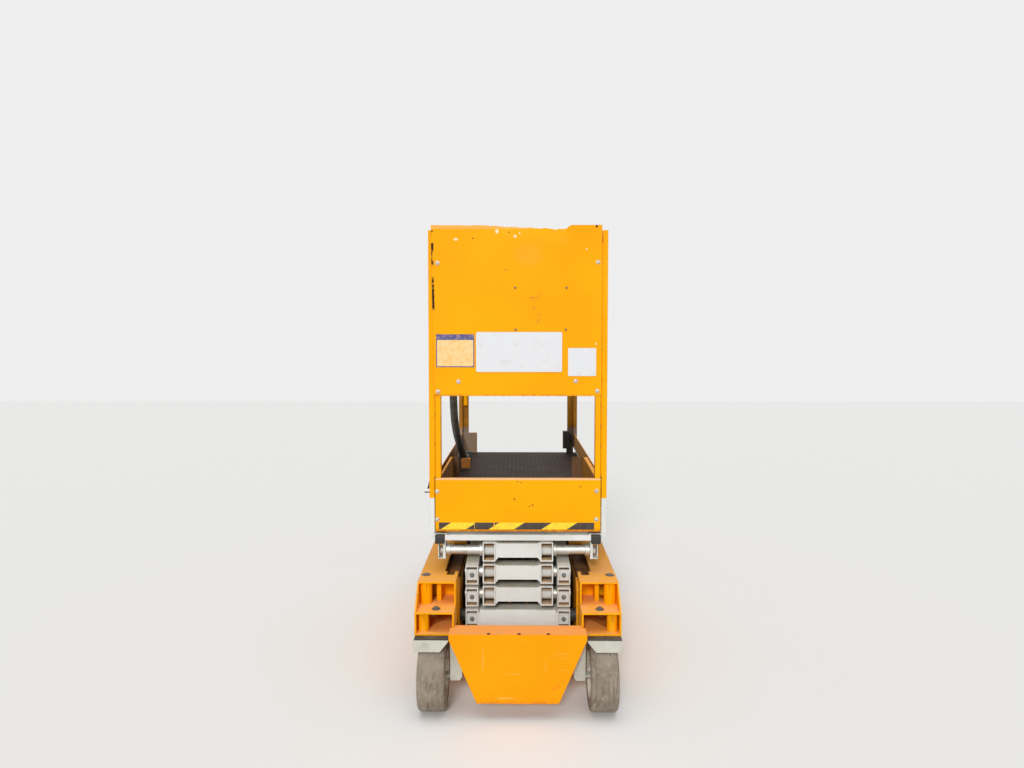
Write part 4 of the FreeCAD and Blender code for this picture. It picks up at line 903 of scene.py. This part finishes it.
DARK_BOLT = plain_gloss("dark_oiled_bolt", (112, 104, 94), 0.42)
RUSTY = plain_gloss("rusty_hole", (92, 48, 28), 0.8)
RUBBER = MADE["black_plastic"]
SHELF_Z, DECK_Z = 0.375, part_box("side_box_left")[1].z
bolts("deck_bolts", [(x, -0.664, DECK_Z) for x in (-0.357, 0.357)], UP, "chassis", washer=0.0178, head=0.0118,
      tall=0.0016, dome=0.0042, sides=24, finish=DARK_BOLT)
bolts("shelf_nuts", [(x, -0.8, SHELF_Z) for x in (-0.304, 0.304)], UP, "chassis", washer=0.0165, head=0.0105,
      tall=0.0065, dome=0.0018, finish=DARK_BOLT)
skirt_low, skirt_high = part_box("front_skirt")
bolts("skirt_fold_holes", [(x, skirt_low.y + 0.006, skirt_high.z) for x in (-0.105, 0.004, 0.109)], UP, "chassis",
      washer=0.0062, head=0.0036, tall=0.0003, dome=0.0003, sides=16, finish=RUSTY)
def across(outward, near, far, y0, y1, z0, z1):
    """The corners of a block on one side of the machine, by its distances from the middle."""
    return (min(outward * near, outward * far), y0, z0), (max(outward * near, outward * far), y1, z1)


for outward, side in SIDES:
    # Painted shadow: a thin black pad on each steering cap stands in for the dark gap under the steering box.
    block(f"gap_shadow_pad_{side}", across(outward, 0.252, 0.3785, -0.869, -0.734, 0.2842, 0.2892), 0.0012, RUBBER,
          "knuckle_" + side, "black_plastic")
    block(f"shelf_bolt_end_{side}", across(outward, 0.3, 0.324, -0.812, -0.79, 0.349, 0.3688), 0.005, RUSTY, "chassis",
          "steel", 3)


# ---- deck openings

def cut_copy(name, node, holes):
    """Replaces a CAD piece with a copy that has blocks cut out of it, one by one."""
    like = NODES[node].data.materials[0], BODY_OF[node], SLOT_OF[node]
    mesh = bmesh.new()
    mesh.from_mesh(NODES[node].data)
    mesh.transform(NODES[node].matrix_world)
    bmesh.ops.remove_doubles(mesh, verts=mesh.verts, dist=WELD)
    for hole in holes:
        whole = piece(name + "_whole", mesh, *like)
        cutter = block(name + "_cutter", hole, 0.0, *like)
        modifier = whole.modifiers.new("cut", "BOOLEAN")
        modifier.operation, modifier.solver, modifier.object = "DIFFERENCE", "EXACT", cutter
        modifier.use_self = True
        data = modified(whole, modifier)
        bpy.data.objects.remove(cutter)
        mesh = bmesh.new()
        mesh.from_mesh(data)
        bpy.data.meshes.remove(data)
    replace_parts(piece(name, mesh, *like, smooth=22), node)


DECK_CUT = DECK_Z - 0.012, DECK_Z + 0.01
SLOT_FRONT, SLOT_BACK = -0.618, -0.2
for outward, side in SIDES:
    cut_copy(f"steer_box_{side}_open", f"steer_box_{side}", [across(outward, 0.248, 0.2785, -0.663, -0.63, *DECK_CUT)])
    cut_copy(f"side_box_{side}_open", f"side_box_{side}",
             [across(outward, 0.248, 0.2785, -0.64, -0.61, *DECK_CUT),
              across(outward, 0.23, 0.2875, SLOT_FRONT, SLOT_BACK, *DECK_CUT)])
    cut_copy(f"trough_wall_{side}_low", f"trough_wall_{side}",
             [across(outward, 0.22, 0.24, SLOT_FRONT, SLOT_BACK, DECK_Z - 0.045, DECK_Z + 0.01)])
    # Painted shade: a dark brown sheet under each deck opening stands in for the shade below it, with caked dirt.
    block(f"shade_sheet_{side}", across(outward, 0.236, 0.296, SLOT_FRONT - 0.01, SLOT_BACK + 0.01, DECK_Z - 0.033,
                                      DECK_Z - 0.03), 0.0, CAKED_SHADED, "chassis")
for outward, side in SIDES:
    cut_copy(f"knuckle_{side}_flat", f"knuckle_{side}", [across(outward, 0.19, 0.252, -0.9, -0.7, 0.06, 0.118)])
block("lowest_bar_face", ((-0.148, -0.6676, 0.25), (0.148, -0.65, 0.323)), 0.002, OUTER_ARMS, "outer_level_1",
      "grey_paint")


# ---- small plates at the front and entry posts

# Mud and painted shade: the brown of the toe boards' returns is partly shade.
MUD_AND_SHADE = plain_gloss("dried_mud", (116, 84, 54), 0.75, 30.0)
# Mud and painted shade: the hose bracket is a darkened orange, partly for the shade it lies in.
SHADED_MUDDY_ORANGE = plain_gloss("muddy_orange", (176, 112, 40), 0.7, 30.0)
for outward, side, hem, fold, plate in ((-1, "left", 0.312, 0.026, 0.343), (1, "right", 0.32, 0.05, 0.328)):
    for name, corners, round_by, material, body in (
            ("post_guide", (0.3212, 0.3252, -0.644, -0.605, 0.842, 1.748), 0.0008, RAILS, "platform"),
            ("beam_plug", (0.286, 0.322, -0.666, -0.6, 0.584, 0.618), 0.002, RUBBER, BODY_OF["front_beam"]),
            ("toe_hem", (0.3, hem, -0.62, -0.1, 0.835, 0.838), 0.0008, RAILS, "extension"),
            ("toe_return", (0.2995 - fold, 0.2995, -0.093, -0.09, 0.737, 0.838), 0.0, MUD_AND_SHADE, "extension"),
            ("entry_post_plate", (0.29, plate, 0.853, 0.858, 0.77, 1.77), 0.001, RAILS, "platform")):
        block(f"{name}_{side}", across(outward, *corners), round_by, material, body,
              "black_plastic" if material == RUBBER else "orange_paint")
block("hose_bracket", ((-0.2848, 0.187, 0.7352), (-0.239, 0.23, 0.784)), 0.003, SHADED_MUDDY_ORANGE, "platform")
mesh = bmesh.new()
turned(mesh, [(-0.3647, 0.0018), (-0.364, 0.0025), (-0.341, 0.0025)], (0.0, -0.64, 0.782), 12)
plate_xz(mesh, [(-0.345, 0.83), (-0.345, 0.796), (-0.354, 0.796)], -0.642, -0.638)
piece("post_clip", mesh, RUBBER, "platform", "black_plastic")


# ---- controls, side bolts, step, charger and rear wall

SLOPE = (math.sqrt(0.5), 0.0, math.sqrt(0.5))
RED = plain_gloss("stop_knob_red", (196, 34, 28), 0.3)
YELLOW = plain_gloss("stop_ring_yellow", (240, 204, 40), 0.4)


def on_slope(y, up):
    """A point on the control box's sloped panel, a distance up from its middle."""
    return (-0.208 - up * SLOPE[0], y, 1.61 + up * SLOPE[2])


STOP = on_slope(-0.44, 0.01)
bolts("stop_ring", [STOP], SLOPE, "platform", washer=0.019, head=0.0125, tall=0.01, dome=0.001,
      sides=24, finish=YELLOW)
bolts("stop_knob", [Vector(STOP) + Vector(SLOPE) * 0.01], SLOPE, "platform", washer=0.015, head=0.016,
      tall=0.006, dome=0.005, sides=28, finish=RED)
bolts("joystick", [on_slope(-0.35, 0.008)], SLOPE, "platform", washer=0.02, head=0.007, tall=0.045, dome=0.007,
      sides=20, finish=RUBBER)
bolts("switches", [on_slope(y, -0.012) for y in (-0.405, -0.385)], SLOPE, "platform", washer=0.0075, head=0.0028,
      tall=0.014, dome=0.0026, sides=14, finish=MADE["steel"])
for outward, side in SIDES:
    sideways = (outward, 0, 0)
    bolts(f"toe_bolts_{side}", [(outward * 0.3451, y, 0.776) for y in (-0.56, -0.23, 0.1, 0.43, 0.76)], sideways,
          "platform", washer=0.0085, head=0.0065, tall=0.0016, dome=0.003, sides=18)
    bolts(f"rear_wall_bolts_{side}", [(outward * x, 0.8521, z) for x, z in ((0.2, 0.43), (0.2, 0.19))], BACK,
          "chassis", washer=0.01, head=0.007, tall=0.004)
bolts("step_studs", [(0.02 * across_by - 0.13, 0.868 + 0.013 * row, z) for z in (0.2152, 0.3852)
                     for across_by in range(14) for row in range(3)], UP, "chassis", washer=0.005, head=0.0034,
      tall=0.0006, dome=0.001, sides=10, finish=MADE["steel"])
block("charger_panel", ((-0.059, 0.838, 0.3725), (0.059, 0.844, 0.4215)), 0.002, RUBBER, "chassis", "black_plastic")
bolts("charger_sockets", [(x, 0.844, 0.397) for x in (-0.032, 0.032)], BACK, "chassis", washer=0.017,
      head=0.014, tall=0.004, dome=0.0006, sides=28, finish=MADE["steel"])


# ---- conduit

CONDUIT_X = sum(corner.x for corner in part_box("conduit_gland")) / 2
CONDUIT_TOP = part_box("conduit")[1].z
CONDUIT_ROUTE = [(-0.33, 1.345), (-0.326, 1.285), (-0.316, 1.225), (-0.299, 1.166), (-0.271, 1.11), (-0.232, 1.058),
                 (-0.18, 1.01), (-0.116, 0.967), (-0.044, 0.928), (0.034, 0.892), (0.112, 0.8575), (0.19, 0.824),
                 (0.266, 0.793), (0.34, 0.768), (0.412, 0.752), (0.48, 0.752)]


def conduit_tree():
    """Sweeps a ring along a curve, its radius stepping up and down once every few millimetres."""
    step, radius, rib = 0.0021, 0.0158, 0.0012
    tree = GeometryTree("corrugated_tube", {"Line": "Geometry", "Finish": "Material"})
    line = tree.value("GeometryNodeResampleCurve", {"mode": "LENGTH"}, {"Curve": tree.given["Line"], "Length": step})
    high = tree.value("GeometryNodeInputIndex").math("MODULO", 4.0) < 1.5
    width = radius + (high * 2.0 - 1.0) * rib
    ring = tree.value("GeometryNodeCurvePrimitiveCircle", {}, {"Resolution": 20, "Radius": 1.0})
    return tree.finished(tree.value("GeometryNodeCurveToMesh", {}, {
        "Curve": line, "Profile Curve": ring, "Scale": width, "Fill Caps": True}))


def dusty_hose(name):
    """Black corrugated plastic with a brown film of dust, paler where it faces up: dust and a painted highlight on the
    ribs.
    """
    plastic = Finish(name)
    dust = plastic.noise(30.0, 5, 0.6, seed=2.0)
    # Dust and painted highlight: paler where the ribs face up.
    plastic.colour = plastic.mix((58, 55, 52), (122, 112, 100),
                                 dust.step(0.3, 0.7) * 0.55 + plastic.up.step(0.0, 0.8) * 0.3)
    return plastic.done(0.45 + 0.25 * dust, height=dust, depth=0.0003)


HOSE_DUST_AND_HIGHLIGHT = dusty_hose("dusty_hose")


def conduit():
    """The corrugated hose from under the control box to the floor."""
    points = [(CONDUIT_X, CONDUIT_ROUTE[0][0], CONDUIT_TOP)]
    for number, (y, z) in enumerate(CONDUIT_ROUTE):
        points.append((CONDUIT_X - 0.007 * math.sin(math.pi * number / (len(CONDUIT_ROUTE) - 1)) ** 2, y, z))
    line = bpy.data.curves.new("conduit_line", "CURVE")
    line.dimensions = "3D"
    line.resolution_u = 24
    spline = line.splines.new("NURBS")
    spline.points.add(len(points) - 1)
    for spot, place in zip(spline.points, points):
        spot.co = (*place, 1.0)
    spline.order_u, spline.use_endpoint_u = 3, True
    holder = linked("conduit_line", line)
    bpy.context.view_layer.update()
    followed = bpy.data.meshes.new_from_object(holder)
    tube = grown(holder, conduit_tree(), {"Finish": HOSE_DUST_AND_HIGHLIGHT})
    tube.name = "conduit_hose"
    made = riding("conduit_hose", tube, "platform", 60.0)
    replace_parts(made, "conduit")


conduit()


# ---- light, floor, camera

def studio():
    """Pale floor, soft light from behind the camera's left shoulder, and the camera of the photograph."""
    world = bpy.data.worlds.new("studio")
    bpy.context.scene.world = world
    world.use_nodes = True
    tree = Tree(world.node_tree)
    ray = tree.node("ShaderNodeLightPath").outputs
    seen = Value(tree, ray["Is Camera Ray"]).most(ray["Is Glossy Ray"]).most(ray["Is Transmission Ray"])
    soft = tree.value("ShaderNodeBackground", {}, {"Color": (0.95, 0.97, 1.0, 1.0), "Strength": 0.3})
    white = tree.value("ShaderNodeBackground", {}, {"Color": (0.86, 0.86, 0.86, 1.0), "Strength": 1.0})
    mixed = tree.value("ShaderNodeMixShader", {}, {0: seen, 1: soft, 2: white})
    tree.node("ShaderNodeOutputWorld", {}, {0: mixed})

    mesh = bmesh.new()
    bmesh.ops.create_grid(mesh, x_segments=2, y_segments=2, size=14.0)
    data = bpy.data.meshes.new("studio_floor")
    mesh.to_mesh(data)
    mesh.free()
    floor = linked("studio_floor", data)
    paint = Finish("studio_floor_paint")
    speck = paint.noise(60.0, 3, seed=1.0)
    paint.colour = paint.mix((243, 242, 240), (238, 237, 235), speck)
    data.materials.append(paint.done(0.9))

    for name, towards, strength, spread in (("key", (0.12, 0.88, -0.44), 1.5, 12.0),
                                            ("top", (0.0, 0.2, -1.0), 1.32, 60.0)):
        lamp = bpy.data.lights.new(name, "SUN")
        lamp.energy, lamp.angle = strength, math.radians(spread)
        holder = linked(name, lamp)
        holder.location = (0.0, 0.0, 4.0)
        holder.rotation_euler = Vector(towards).to_track_quat("-Z", "Y").to_euler()

    camera = bpy.data.cameras.new("photo_view")
    camera.sensor_width, camera.lens = 36.0, 26.19
    holder = linked("photo_view", camera)
    holder.location = (0.0, -3.52, 1.361)
    holder.rotation_euler = (math.radians(90 - 3.1), 0.0, math.radians(0.46))
    bpy.context.scene.camera = holder
    bpy.context.scene.view_settings.view_transform = "Standard"


studio()
